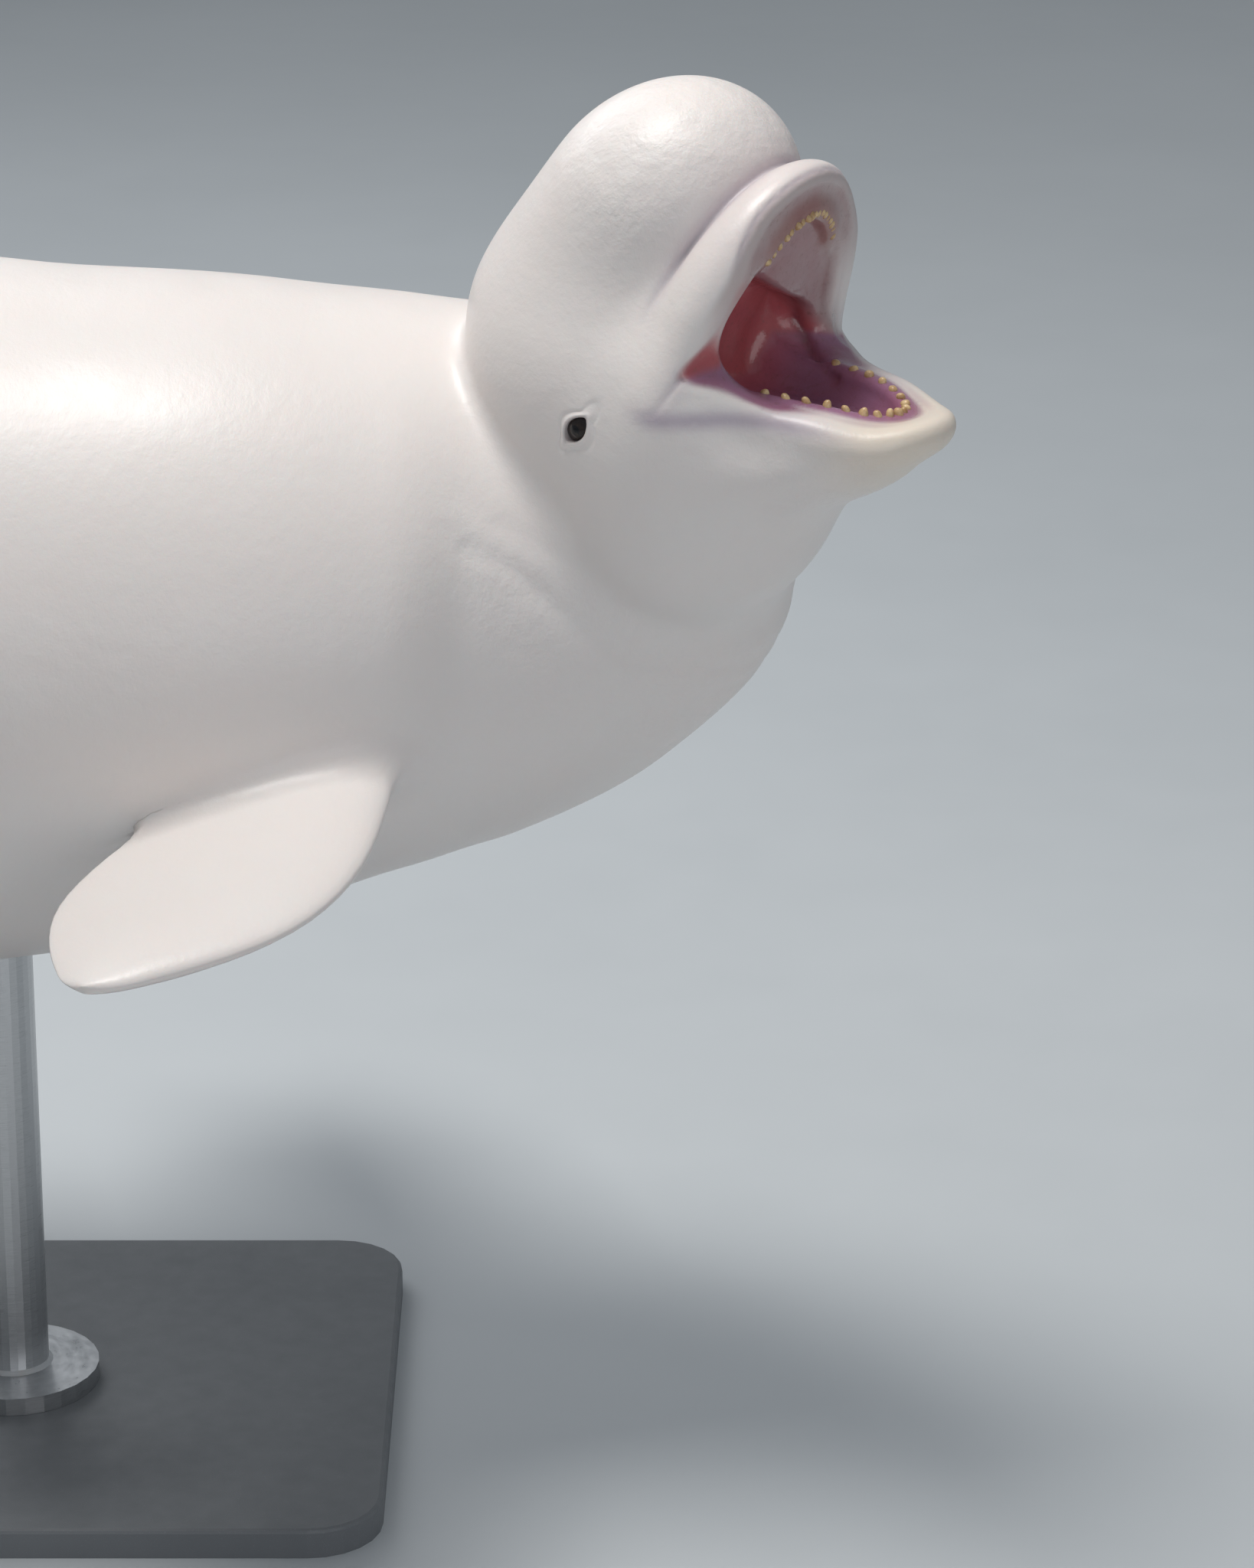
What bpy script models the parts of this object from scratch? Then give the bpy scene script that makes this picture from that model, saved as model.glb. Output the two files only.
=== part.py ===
"""Life-size still model of a white whale on a plain stand: head raised, mouth open, metres, +Z up."""
import bpy
import bmesh
import numpy as np
from math import radians, sin, cos, pi
from mathutils import Vector, Matrix

for old in list(bpy.data.objects):
    bpy.data.objects.remove(old)

# Sizes that drive the model
AXIS_Z = 0.86                    # height of the trunk's axis above the floor
TAIL_END = -2.20                 # where the notch of the flukes lies
TRUNK_FRONT = 0.84               # where the trunk's own solid ends inside the neck
GAP = 0.0003                     # air left between two nodes
# x, top, bottom, half width of the trunk, heights from its axis
TRUNK = np.array([
    [-2.20, -0.070, -0.115, 0.022],
    [-2.05, -0.050, -0.150, 0.034],
    [-1.85, -0.020, -0.200, 0.050],
    [-1.55, 0.040, -0.270, 0.085],
    [-1.10, 0.150, -0.345, 0.175],
    [-0.55, 0.275, -0.385, 0.295],
    [0.00, 0.335, -0.375, 0.350],
    [0.40, 0.325, -0.350, 0.345],
    [0.65, 0.290, -0.308, 0.300],
    [0.85, 0.235, -0.225, 0.240],
    [1.10, 0.140, -0.170, 0.150],
])
# x, y, height from the axis and radius of the balls the neck is blended from
NECK = [
    (0.62, 0.0, 0.0, 0.290),
    (0.74, 0.020, 0.015, 0.268),
    (0.85, 0.035, 0.035, 0.235),
    (0.94, 0.025, 0.055, 0.200),
    (1.01, 0.0, 0.080, 0.170),
    (0.86, 0.010, -0.035, 0.205),
    (0.97, 0.0, -0.010, 0.170),
    (1.06, -0.010, 0.030, 0.130),
]

# Pose of the head and of the lower jaw
HEAD_PITCH = radians(50.5)
HEAD_YAW = radians(-35.0)
GAPE = radians(38.8)
HEAD_AT = np.array([1.04, -0.05, AXIS_Z + 0.17])
JAW_AT = np.array([0.07, 0.0, -0.04])

# Ellipsoids of the head: centre x, z and the three radii, in the head's own frame
CRANIUM = (0.077, 0.036, 0.154, 0.167, 0.186)
MELON = (0.197, 0.113, 0.140, 0.128, 0.115)
UPPER_JAW = (0.171, 0.002, 0.153, 0.118, 0.046)
UPPER_JAW_TILT = radians(18)
THROAT = (0.025, -0.080, 0.147, 0.149, 0.120)
CHEEK = (0.100, -0.045, 0.085, 0.055, 0.070)
CHEEK_OUT = 0.085
LOWER_JAW = (0.089, -0.023, 0.150, 0.102, 0.056)
# Rings of the lips: centre x, half length, half width, thickness, lift from the line of the mouth
UPPER_LIP = (0.140, 0.184, 0.114, 0.025, 0.017)
LOWER_LIP = (0.094, 0.158, 0.078, 0.018, -0.015)
# Line of the mouth: x and height, the upper one in the head's frame, the lower one in the jaw's
UPPER_LINE_X = [-0.10, 0.10, 0.155, 0.21, 0.26, 0.31, 0.345, 0.50]
UPPER_LINE_Z = [-0.085, -0.062, -0.047, -0.031, -0.015, 0.001, 0.011, 0.021]
LOWER_LINE_X = [-0.10, 0.0, 0.062, 0.12, 0.18, 0.23, 0.275, 0.40]
LOWER_LINE_Z = [0.105, 0.076, 0.053, 0.038, 0.021, 0.003, 0.004, 0.004]
LIP_THINNING = 0.010             # how much higher the rim of the upper lip is cut at its tip
PALATE_SHELF = 0.010             # how far the roof of the mouth rises between lip and gum
PALATE_BULGE = 0.011             # and how far it comes down again in the middle
PALATE_END = (0.237, -0.50)      # its rear edge: x at the middle, change of x with y
THROAT_RISE = 0.040
FLOOR_DROP = 0.036

# Parting planes
NAPE_CUT = (-0.045, 0.114)       # in the head's frame: where it crosses the length, and its lean
NECK_CUT_X = 0.90                # where the plane before the shoulders crosses the axis
NECK_CUT_LEAN = radians(20)
TAIL_CUT_X = -1.10
JAW_APEX = (0.138, -0.043)
JAW_CUT_UP = radians(-14.5)
JAW_CUT_BACK = radians(-115)

# Eyes, blowhole
EYE = (0.083, 0.1645, -0.001)
EYE_RADIUS = 0.019
EYE_SUNK = 0.0187
LID_OPENING = (0.0145, 0.0080)
BLOWHOLE_X = 0.030

# Gums, teeth, tongue
UPPER_GUM = (0.130, 0.188, 0.093, 0.0085, 0.010, radians(38))
LOWER_GUM = (0.090, 0.136, 0.061, 0.0075, -0.007, radians(82))
UPPER_TEETH = (0.05, 0.93)       # where the rows start and end along a half of the gum
LOWER_TEETH = (0.05, 0.93)
TEETH_EACH_SIDE = 9
TOOTH_RADIUS = 0.0040
TOOTH_HEIGHT = 0.0080

TRUNK_SIDES = 34

# Flippers and flukes
FLIPPER_ROOT = (0.765, 0.195, -0.080)
FLIPPER_DIRECTION = (-0.30, 0.90, -0.20)
FLIPPER_LENGTH = 0.46
FLIPPER_CHORD = 0.190
FLIPPER_CUT = 0.007              # how far off the skin the flipper is parted
FLUKE_HALF_SPAN = 0.44
FLUKE_CUT_Y = 0.060

# Stand
BASE = (1.60, 0.64, 0.030)
BASE_CORNER = 0.07
ROD_X = (0.42, -0.50)
ROD_RADIUS = 0.035
ROD_SUNK = 0.060
FLANGE_RADIUS = 0.085
FLANGE_HEIGHT = 0.018


def turn_y(a):
    c, s = cos(a), sin(a)
    return np.array([[c, 0, s], [0, 1, 0], [-s, 0, c]])


def turn_z(a):
    c, s = cos(a), sin(a)
    return np.array([[c, -s, 0], [s, c, 0], [0, 0, 1]])


HEAD_TURN = turn_z(HEAD_YAW) @ turn_y(-HEAD_PITCH)
JAW_TURN = turn_y(GAPE)


def to_head(p):
    return (p - HEAD_AT) @ HEAD_TURN


def from_head(q):
    return np.asarray(q, float) @ HEAD_TURN.T + HEAD_AT


def to_jaw(q):
    return (q - JAW_AT) @ JAW_TURN


def from_jaw(j):
    return np.asarray(j, float) @ JAW_TURN.T + JAW_AT


def blend(a, b, k):
    """Smooth union of two distances."""
    h = np.clip(0.5 + 0.5 * (b - a) / k, 0, 1)
    return b * (1 - h) + a * h - k * h * (1 - h)


def carve(a, b, k):
    """Smooth intersection of two distances."""
    return -blend(-a, -b, k)


def ellipsoid(p, centre, radii):
    q = (p - np.array(centre)) / np.array(radii)
    k0 = np.sqrt((q * q).sum(-1))
    g = q / np.array(radii)
    k1 = np.sqrt((g * g).sum(-1))
    return k0 * (k0 - 1) / np.maximum(k1, 1e-6)


def lump(q, spec):
    return ellipsoid(q, (spec[0], 0, spec[1]), spec[2:])


def lip_ring(q, spec):
    """Tube round an ellipse that lies level."""
    x, y, z = q[..., 0] - spec[0], q[..., 1], q[..., 2]
    k0 = np.sqrt((x / spec[1]) ** 2 + (y / spec[2]) ** 2)
    k1 = np.sqrt((x / spec[1] ** 2) ** 2 + (y / spec[2] ** 2) ** 2)
    d = k0 * (k0 - 1) / np.maximum(k1, 1e-6)
    return np.sqrt(d * d + z * z) - spec[3]


def smooth_line(x, xs, ys):
    """Smooth curve through the given points."""
    xs, ys = np.asarray(xs, float), np.asarray(ys, float)
    m = np.gradient(ys, xs)
    i = np.clip(np.searchsorted(xs, x) - 1, 0, len(xs) - 2)
    h = xs[i + 1] - xs[i]
    t = np.clip((x - xs[i]) / h, 0, 1)
    a = (2 * t**3 - 3 * t**2 + 1) * ys[i] + (t**3 - 2 * t**2 + t) * h * m[i]
    return a + (3 * t**2 - 2 * t**3) * ys[i + 1] + (t**3 - t**2) * h * m[i + 1]


def upper_line(x):
    return smooth_line(x, UPPER_LINE_X, UPPER_LINE_Z)


def lower_line(x):
    return smooth_line(x, LOWER_LINE_X, LOWER_LINE_Z)


def shifted(q, dz):
    w = q.copy()
    w[..., 2] = q[..., 2] - dz
    return w


def upper_head(q):
    dome = blend(lump(q, CRANIUM), lump(q, MELON), 0.05)
    tilt = (q - np.array([UPPER_JAW[0], 0, UPPER_JAW[1]])) @ turn_y(-UPPER_JAW_TILT)
    jaw = ellipsoid(tilt, (0, 0, 0), UPPER_JAW[2:])
    lip = lip_ring(shifted(q, upper_line(q[..., 0]) + UPPER_LIP[4]), UPPER_LIP)
    face = blend(jaw, lip, 0.045)
    crease = 0.045 - 0.035 * np.clip((q[..., 0] - 0.15) / 0.10, 0, 1)
    return blend(dome, face, crease)


def lower_head(q):
    j = to_jaw(q)
    lip = lip_ring(shifted(j, lower_line(j[..., 0]) + LOWER_LIP[4]), LOWER_LIP)
    return blend(lump(j, LOWER_JAW), lip, 0.03)


def head(p):
    q = to_head(p)
    side = q.copy()
    side[..., 1] = np.abs(q[..., 1])
    cheek = ellipsoid(side, (CHEEK[0], CHEEK_OUT, CHEEK[1]), CHEEK[2:])
    d = blend(upper_head(q), blend(lump(q, THROAT), cheek, 0.04), 0.05)
    return blend(d, lower_head(q), 0.045)


def trunk(p):
    x = p[..., 0]
    top = smooth_line(x, TRUNK[:, 0], TRUNK[:, 1])
    low = smooth_line(x, TRUNK[:, 0], TRUNK[:, 2])
    wide = smooth_line(x, TRUNK[:, 0], TRUNK[:, 3])
    tall = (top - low) / 2
    y, z = p[..., 1], p[..., 2] - AXIS_Z - (top + low) / 2
    k0 = np.sqrt((y / wide) ** 2 + (z / tall) ** 2)
    k1 = np.sqrt((y / wide**2) ** 2 + (z / tall**2) ** 2)
    d = k0 * (k0 - 1) / np.maximum(k1, 1e-6)
    return carve(d, np.maximum(TAIL_END - x, x - TRUNK_FRONT), 0.04)


def body(p):
    d = trunk(p)
    chain = None
    for x, y, z, r in NECK:
        ball = np.sqrt(((p - np.array([x, y, z + AXIS_Z])) ** 2).sum(-1)) - r
        chain = ball if chain is None else blend(chain, ball, 0.05)
    return blend(d, chain, 0.06)


def whale(p):
    return blend(head(p), body(p), 0.022)


def step(low, high, x):
    """0 at low, 1 at high and past it, smooth between."""
    t = np.clip((x - low) / (high - low), 0, 1)
    return t * t * (3 - 2 * t)


def ring_share(x, y, spec, shrink):
    """0 along the middle of the mouth, 1 from the ring of a lip outwards."""
    fore = np.maximum(x - spec[0], 0) / (spec[1] - shrink)
    return np.sqrt(fore**2 + (y / (spec[2] - shrink)) ** 2)


def palate_height(x, y):
    k = ring_share(x, y, UPPER_LIP, 0.004)
    rim = upper_line(x) + LIP_THINNING * step(0.27, 0.33, x)
    shelf = PALATE_SHELF * step(1.0, 0.86, k)
    bulge = PALATE_BULGE * np.maximum(1 - (k / 0.72) ** 2, 0)
    behind = step(0.006, -0.022, x - PALATE_END[0] - PALATE_END[1] * y)
    throat = THROAT_RISE * behind * step(0.95, 0.55, k) * step(0.02, 0.10, x)
    return rim + shelf - bulge + throat


def floor_height(x, y):
    return lower_line(x) - FLOOR_DROP * step(0.0, 0.45, 1 - ring_share(x, y, LOWER_LIP, 0.016))


# Mesh helpers
def material(name, colour, rough=0.5, metal=0.0):
    m = bpy.data.materials.new(name)
    m.use_nodes = True
    shader = m.node_tree.nodes["Principled BSDF"]
    shader.inputs["Base Color"].default_value = (*colour, 1)
    shader.inputs["Roughness"].default_value = rough
    shader.inputs["Metallic"].default_value = metal
    return m


def to_object(bm, name):
    bmesh.ops.recalc_face_normals(bm, faces=bm.faces)
    bmesh.ops.triangulate(bm, faces=[f for f in bm.faces if len(f.verts) == 4])
    if bm.calc_volume(signed=True) < 0:
        bmesh.ops.reverse_faces(bm, faces=bm.faces)
    mesh = bpy.data.meshes.new(name)
    bm.to_mesh(mesh)
    bm.free()
    made = bpy.data.objects.new(name, mesh)
    bpy.context.scene.collection.objects.link(made)
    return made


def from_object(thing):
    bm = bmesh.new()
    bm.from_mesh(thing.data)
    return bm


def first_hit(field, start, rays, reach, steps=110):
    """Distance along each ray where the field first turns positive."""
    near = np.zeros(len(rays))
    far = np.full(len(rays), reach)
    found = np.zeros(len(rays), bool)
    before = np.zeros(len(rays))
    for t in np.linspace(reach / steps, reach, steps):
        out = field(start + rays * t) > 0
        fresh = out & ~found
        near[fresh] = before[fresh]
        far[fresh] = t
        found |= out
        before[:] = t
    near[~found] = reach
    for _ in range(14):
        middle = (near + far) / 2
        out = field(start + rays * middle[:, None]) > 0
        far = np.where(out, middle, far)
        near = np.where(out, near, middle)
    return (near + far) / 2


def wrapped_ball(name, field, centre, turn, segments, rings, reach, forward=0.0, soft=None):
    """Ball of rays from a centre, each vertex moved out to the surface of the field.
    Vertices between the two heights soft along the ball's axis are evened out."""
    bm = bmesh.new()
    bmesh.ops.create_uvsphere(bm, u_segments=segments, v_segments=rings, radius=1.0)
    unit = np.array([v.co[:] for v in bm.verts])
    polar = np.arccos(np.clip(unit[:, 2], -1, 1))
    round_axis = np.arctan2(unit[:, 1], unit[:, 0])
    polar = polar - forward * np.sin(polar) * (1 + np.cos(polar)) / 2
    rays = np.stack([
        np.cos(polar),
        np.sin(polar) * np.sin(round_axis),
        np.sin(polar) * np.cos(round_axis),
    ], 1) @ turn.T
    centre = np.asarray(centre, float)
    far = first_hit(field, centre, rays, reach)
    for v, ray, t in zip(bm.verts, rays, far):
        v.co = Vector(centre + ray * t)
    if soft is not None:
        rear = [v for v in bm.verts if soft[0] < (np.array(v.co) - centre) @ turn[:, 0] < soft[1]]
        bmesh.ops.smooth_vert(bm, verts=rear, factor=0.5, use_axis_x=True, use_axis_y=True, use_axis_z=True)
    return to_object(bm, name)


def ring_loft(name, rings):
    """Closed skin over a row of rings with the same number of points."""
    bm = bmesh.new()
    rows = [[bm.verts.new(Vector(p)) for p in ring] for ring in rings]
    n = len(rows[0])
    for a, b in zip(rows, rows[1:]):
        for i in range(n):
            bm.faces.new((a[i], a[(i + 1) % n], b[(i + 1) % n], b[i]))
    bm.faces.new(rows[0][::-1])
    bm.faces.new(rows[-1])
    return to_object(bm, name)


def copy_of(thing, name):
    made = bpy.data.objects.new(name, thing.data.copy())
    bpy.context.scene.collection.objects.link(made)
    return made


def drop(thing):
    bpy.data.objects.remove(thing)


def plane_cut(thing, point, normal):
    """Removes what lies on the normal's side of a plane and closes the cut."""
    bm = from_object(thing)
    whole = bm.verts[:] + bm.edges[:] + bm.faces[:]
    cut = bmesh.ops.bisect_plane(bm, geom=whole, dist=1e-7, plane_co=Vector(point),
                                 plane_no=Vector(normal), clear_outer=True)
    rim = [e for e in cut["geom_cut"] if isinstance(e, bmesh.types.BMEdge)]
    bmesh.ops.contextual_create(bm, geom=rim)
    bmesh.ops.recalc_face_normals(bm, faces=bm.faces)
    bm.to_mesh(thing.data)
    bm.free()
    return thing


def boolean(thing, tool, operation, solver="MANIFOLD", keep_tool=False):
    tool.hide_render = True
    tool.display_type = "WIRE"
    step = thing.modifiers.new("step", "BOOLEAN")
    step.operation = operation
    step.solver = solver
    step.object = tool
    bpy.context.view_layer.update()
    seen = thing.evaluated_get(bpy.context.evaluated_depsgraph_get())
    result = bpy.data.meshes.new_from_object(seen)
    thing.modifiers.clear()
    thing.data = result
    if not keep_tool:
        drop(tool)
    return thing


def keep_largest(thing):
    """Keeps the largest closed surface."""
    bm = from_object(thing)
    bm.verts.ensure_lookup_table()
    seen, best = set(), []
    for start in bm.verts:
        if start in seen:
            continue
        group, stack = [], [start]
        seen.add(start)
        while stack:
            v = stack.pop()
            group.append(v)
            for e in v.link_edges:
                w = e.other_vert(v)
                if w not in seen:
                    seen.add(w)
                    stack.append(w)
        if len(group) > len(best):
            best = group
    keep = set(best)
    bmesh.ops.delete(bm, geom=[v for v in bm.verts if v not in keep], context="VERTS")
    bmesh.ops.triangulate(bm, faces=bm.faces)
    bm.to_mesh(thing.data)
    bm.free()
    return thing


def matrix_of(turn, place):
    m = Matrix([list(row) + [0] for row in turn] + [[0, 0, 0, 1]])
    return Matrix.Translation(Vector(place)) @ m


HEAD_MATRIX = matrix_of(HEAD_TURN, HEAD_AT)
JAW_MATRIX = HEAD_MATRIX @ matrix_of(JAW_TURN, JAW_AT)
AXIS_POINT = np.array([0.0, 0.0, AXIS_Z])


# Opening of the mouth: what lies under the palate and over the floor
def sheet_solid(name, height, beyond, place):
    """Solid between a height sheet and a level plane far from it."""
    xs = np.concatenate([np.arange(-0.02, 0.10, 0.03), np.arange(0.10, 0.36, 0.0185), [0.46]])
    half = np.array([0.0, 0.026, 0.048, 0.065, 0.078, 0.089, 0.099, 0.108, 0.13, 0.21])
    ys = np.concatenate([-half[:0:-1], half])
    gx, gy = np.meshgrid(xs, ys, indexing="ij")
    gz = height(gx, gy)
    bm = bmesh.new()
    top = [[bm.verts.new((x, y, z)) for x, y, z in zip(a, b, c)] for a, b, c in zip(gx, gy, gz)]
    low = [[bm.verts.new((x, y, beyond)) for x, y in zip(a, b)] for a, b in zip(gx, gy)]
    n, m = len(xs), len(ys)
    for i in range(n - 1):
        for j in range(m - 1):
            bm.faces.new((top[i][j], top[i + 1][j], top[i + 1][j + 1], top[i][j + 1]))
            bm.faces.new((low[i][j + 1], low[i + 1][j + 1], low[i + 1][j], low[i][j]))
    for i in range(n - 1):
        bm.faces.new((top[i + 1][0], top[i][0], low[i][0], low[i + 1][0]))
        bm.faces.new((top[i][m - 1], top[i + 1][m - 1], low[i + 1][m - 1], low[i][m - 1]))
    for j in range(m - 1):
        bm.faces.new((top[0][j], top[0][j + 1], low[0][j + 1], low[0][j]))
        bm.faces.new((top[n - 1][j + 1], top[n - 1][j], low[n - 1][j], low[n - 1][j + 1]))
    flat = [f for f in bm.faces if all(abs(v.co.z - beyond) < 1e-9 for v in f.verts)]
    bmesh.ops.dissolve_faces(bm, faces=flat)
    made = to_object(bm, name)
    made.data.transform(place)
    return made


def mouth_opening():
    under = sheet_solid("under_palate", palate_height, -0.60, HEAD_MATRIX)
    over = sheet_solid("over_floor", floor_height, 0.60, JAW_MATRIX)
    return boolean(under, over, "INTERSECT")


def jaw_prism(name, grow):
    """Region of the lower jaw, a prism across the head."""
    ax, az = JAW_APEX
    up, back = JAW_CUT_UP, JAW_CUT_BACK
    ax, az = ax - grow, az + grow
    corners = [
        (ax, az),
        (ax + 0.60 * cos(up), az + 0.60 * sin(up)),
        (ax + 0.80, az - 0.80),
        (ax + 0.55 * cos(back), az + 0.55 * sin(back)),
    ]
    rings = [[from_head((x, y, z)) for x, z in corners] for y in (-0.30, 0.30)]
    return ring_loft(name, rings)


def u_curve(spec, line, t):
    """Point of the U of a gum: t runs -1..1 from its right back end to its left one."""
    angle = t * spec[5]
    x, y = spec[0] + spec[1] * cos(angle), spec[2] * sin(angle)
    return np.array([x, y, float(line(np.array([x]))[0]) + spec[4]])


def gum_tube(name, spec, line, place, grow):
    count, sides = 23, 7
    ts = np.linspace(-1, 1, count)
    path = [u_curve(spec, line, t) for t in ts]
    rings = []
    for i, p in enumerate(path):
        along = path[min(i + 1, count - 1)] - path[max(i - 1, 0)]
        along = along / np.linalg.norm(along)
        out = np.cross(along, [0, 0, 1])
        out = out / np.linalg.norm(out)
        up = np.cross(out, along)
        r = spec[3] + grow
        p = p + along * (grow if i == count - 1 else -grow if i == 0 else 0)
        rings.append([p + r * (cos(a) * out + sin(a) * up) for a in np.linspace(0, 2 * pi, sides, endpoint=False)])
    tube = ring_loft(name, rings)
    tube.data.transform(place)
    return tube


def tooth(spec, line, t, way, place, number, grow):
    """One short peg that stands on the gum."""
    p = u_curve(spec, line, t)
    rings = []
    for h, r in ((-spec[3] * 0.3, 1.0), (spec[3] + 0.65 * TOOTH_HEIGHT, 0.90), (spec[3] + TOOTH_HEIGHT + grow, 0.45)):
        r = r * TOOTH_RADIUS + grow * 1.3
        rings.append([p + np.array([r * cos(a), r * sin(a), way * h])
                      for a in np.linspace(0, 2 * pi, 6, endpoint=False)])
    made = ring_loft("tooth_%d" % number, rings)
    made.data.transform(place)
    return made


def gum_with_teeth(name, spec, teeth, line, way, place, grow):
    gum = gum_tube(name, spec, line, place, grow)
    first, last = teeth
    number = 0
    for side in (-1, 1):
        for i in range(TEETH_EACH_SIDE):
            t = side * (first + (last - first) * i / (TEETH_EACH_SIDE - 1))
            boolean(gum, tooth(spec, line, t, way, place, number, grow), "UNION")
            number += 1
    return keep_largest(gum)


def tongue_solid(name, grow):
    bm = bmesh.new()
    bmesh.ops.create_uvsphere(bm, u_segments=16, v_segments=10, radius=1.0)
    for v in bm.verts:
        x, y, z = v.co
        v.co = Vector((0.095 + (0.100 + grow) * x, (0.047 + grow) * y * (1 - 0.12 * x),
                       float(lower_line(np.array([0.095 + 0.1 * x]))[0]) - 0.038 + (0.013 + grow) * z))
    made = to_object(bm, name)
    made.data.transform(JAW_MATRIX)
    return made


def gradient(field, p):
    h = 0.001
    g = [field(p + h * e) - field(p - h * e) for e in np.eye(3)]
    return np.array(g) / (2 * h)


def eye_frame(side):
    """Centre of an eyeball and the axes of its lids in whole-model space."""
    skin = from_head((EYE[0], side * EYE[1], EYE[2]))
    out = gradient(whale, skin)
    out = out / np.linalg.norm(out)
    skin = skin - out * float(whale(skin))
    along = HEAD_TURN[:, 0] - out * (HEAD_TURN[:, 0] @ out)
    along = along / np.linalg.norm(along)
    return skin, out, along, np.cross(out, along)


def eyeball(name, side, grow):
    skin, out, along, up = eye_frame(side)
    bm = bmesh.new()
    bmesh.ops.create_uvsphere(bm, u_segments=18, v_segments=10, radius=EYE_RADIUS + grow)
    made = to_object(bm, name)
    turn = np.stack([along, up, out], 1)
    made.data.transform(matrix_of(turn, skin - out * EYE_SUNK))
    return made


def lid_cutter(name, side):
    skin, out, along, up = eye_frame(side)
    a, b = LID_OPENING
    rings = []
    for depth, scale in ((-0.010, 0.95), (0.0, 1.0), (0.012, 1.25)):
        rings.append([skin + out * depth + scale * (a * cos(t) * along + b * sin(t) * up)
                      for t in np.linspace(0, 2 * pi, 20, endpoint=False)])
    return ring_loft(name, rings)


def blowhole_cutter():
    """Crescent slit on top of the head."""
    top = first_hit(whale, from_head((BLOWHOLE_X, 0, 0)), HEAD_TURN[:, 2][None], 0.35)[0]
    rings = []
    for depth, scale in ((-0.022, 0.86), (0.02, 1.12)):
        ring = []
        for a in np.linspace(-1, 1, 11):
            ring.append((BLOWHOLE_X - 0.010 * cos(a * 1.3) * scale + 0.004, 0.031 * scale * sin(a * pi / 2)))
        for a in np.linspace(0.9, -0.9, 10):
            ring.append((BLOWHOLE_X - 0.022 * cos(a * 1.3) * scale + 0.004, 0.033 * scale * sin(a * pi / 2)))
        rings.append([from_head((x, y, top + depth)) for x, y in ring])
    return ring_loft("blowhole_cutter", rings)


# Fins
def fin_section(chord, thick, count=9):
    """Points round a rounded aerofoil, x from 0 at the leading edge to -chord."""
    s = (1 - np.cos(np.linspace(0, pi, count))) / 2
    half = thick * (1.25 * np.sqrt(s) * (1 - s) + 0.35 * s * (1 - s)) + 0.05 * thick * np.sin(pi * s) + 1e-4
    upper = [(-chord * a, b) for a, b in zip(s, half)]
    lower = [(-chord * a, -b) for a, b in zip(s[-2:0:-1], half[-2:0:-1])]
    return upper + lower


def fluke_edges(t):
    """Leading and trailing x of the flukes at a share t of the half span."""
    lead = -1.965 - 0.215 * t**1.5 - 0.085 * t**6
    trail = TAIL_END - 0.006 - 0.115 * np.sin(pi * min(1.0, t * 0.97) ** 0.72) ** 0.9 * (1 - 0.25 * t) - 0.075 * t**2
    return lead, trail


def fluke_pair():
    ts = [-1.0, -0.985, -0.94, -0.86, -0.74, -0.58, -0.40, -0.24, -0.12, -0.04]
    ts = ts + [-t for t in ts[::-1]]
    rings = []
    for t in ts:
        a = abs(t)
        lead, trail = fluke_edges(a)
        chord = max(lead - trail, 0.012)
        thick = 0.013 + 0.115 * chord * (1 - 0.35 * a)
        thick = thick * (1 if a < 0.9 else (1.02 - a) / 0.12 * 0.8 + 0.2)
        z = AXIS_Z - 0.092 + 0.030 * a**2
        rings.append([(lead + x, t * FLUKE_HALF_SPAN, z + h) for x, h in fin_section(chord, thick)])
    return ring_loft("flukes", rings)


def flipper_frame(side):
    along = np.array([FLIPPER_DIRECTION[0], side * FLIPPER_DIRECTION[1], FLIPPER_DIRECTION[2]])
    along = along / np.linalg.norm(along)
    fore = np.array([1.0, 0.0, 0.10])
    fore = fore - along * (fore @ along)
    fore = fore / np.linalg.norm(fore)
    flat = np.cross(fore, along) * side
    root = np.array([FLIPPER_ROOT[0], side * FLIPPER_ROOT[1], FLIPPER_ROOT[2] + AXIS_Z])
    return root, along, fore, flat


def flipper(name, side):
    root, along, fore, flat = flipper_frame(side)
    rings = []
    for t in (0.0, 0.12, 0.24, 0.38, 0.52, 0.66, 0.79, 0.89, 0.96, 0.992, 1.0):
        wide = 0.74 + 0.52 * sin(pi * min(t, 0.94) ** 1.15) ** 1.2
        wide = wide * (1 if t < 0.62 else (1 - ((t - 0.62) / 0.385) ** 2.4) ** 0.55)
        chord = FLIPPER_CHORD * max(wide, 0.10)
        thick = 0.040 * (1 - 0.62 * t) * (1 if t < 0.9 else 0.75) + 0.003
        lead = 0.5 * chord - 0.055 * t**1.6
        lift = 0.030 * t**2.2
        centre = root + along * (t * FLIPPER_LENGTH) + flat * lift
        rings.append([centre + fore * (lead + x) + flat * h for x, h in fin_section(chord, thick)])
    return ring_loft(name, rings)


# Colours
SKIN = material("skin", (0.78, 0.74, 0.71), 0.42)
LINING = material("mouth_lining", (0.42, 0.17, 0.20), 0.35)
TONGUE = material("tongue_flesh", (0.50, 0.24, 0.28), 0.35)
EYE_BLACK = material("eye_black", (0.012, 0.010, 0.012), 0.08)
STEEL = material("stand_steel", (0.55, 0.56, 0.57), 0.35, 1.0)
BASE_PAINT = material("stand_paint", (0.16, 0.17, 0.18), 0.5)

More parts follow.
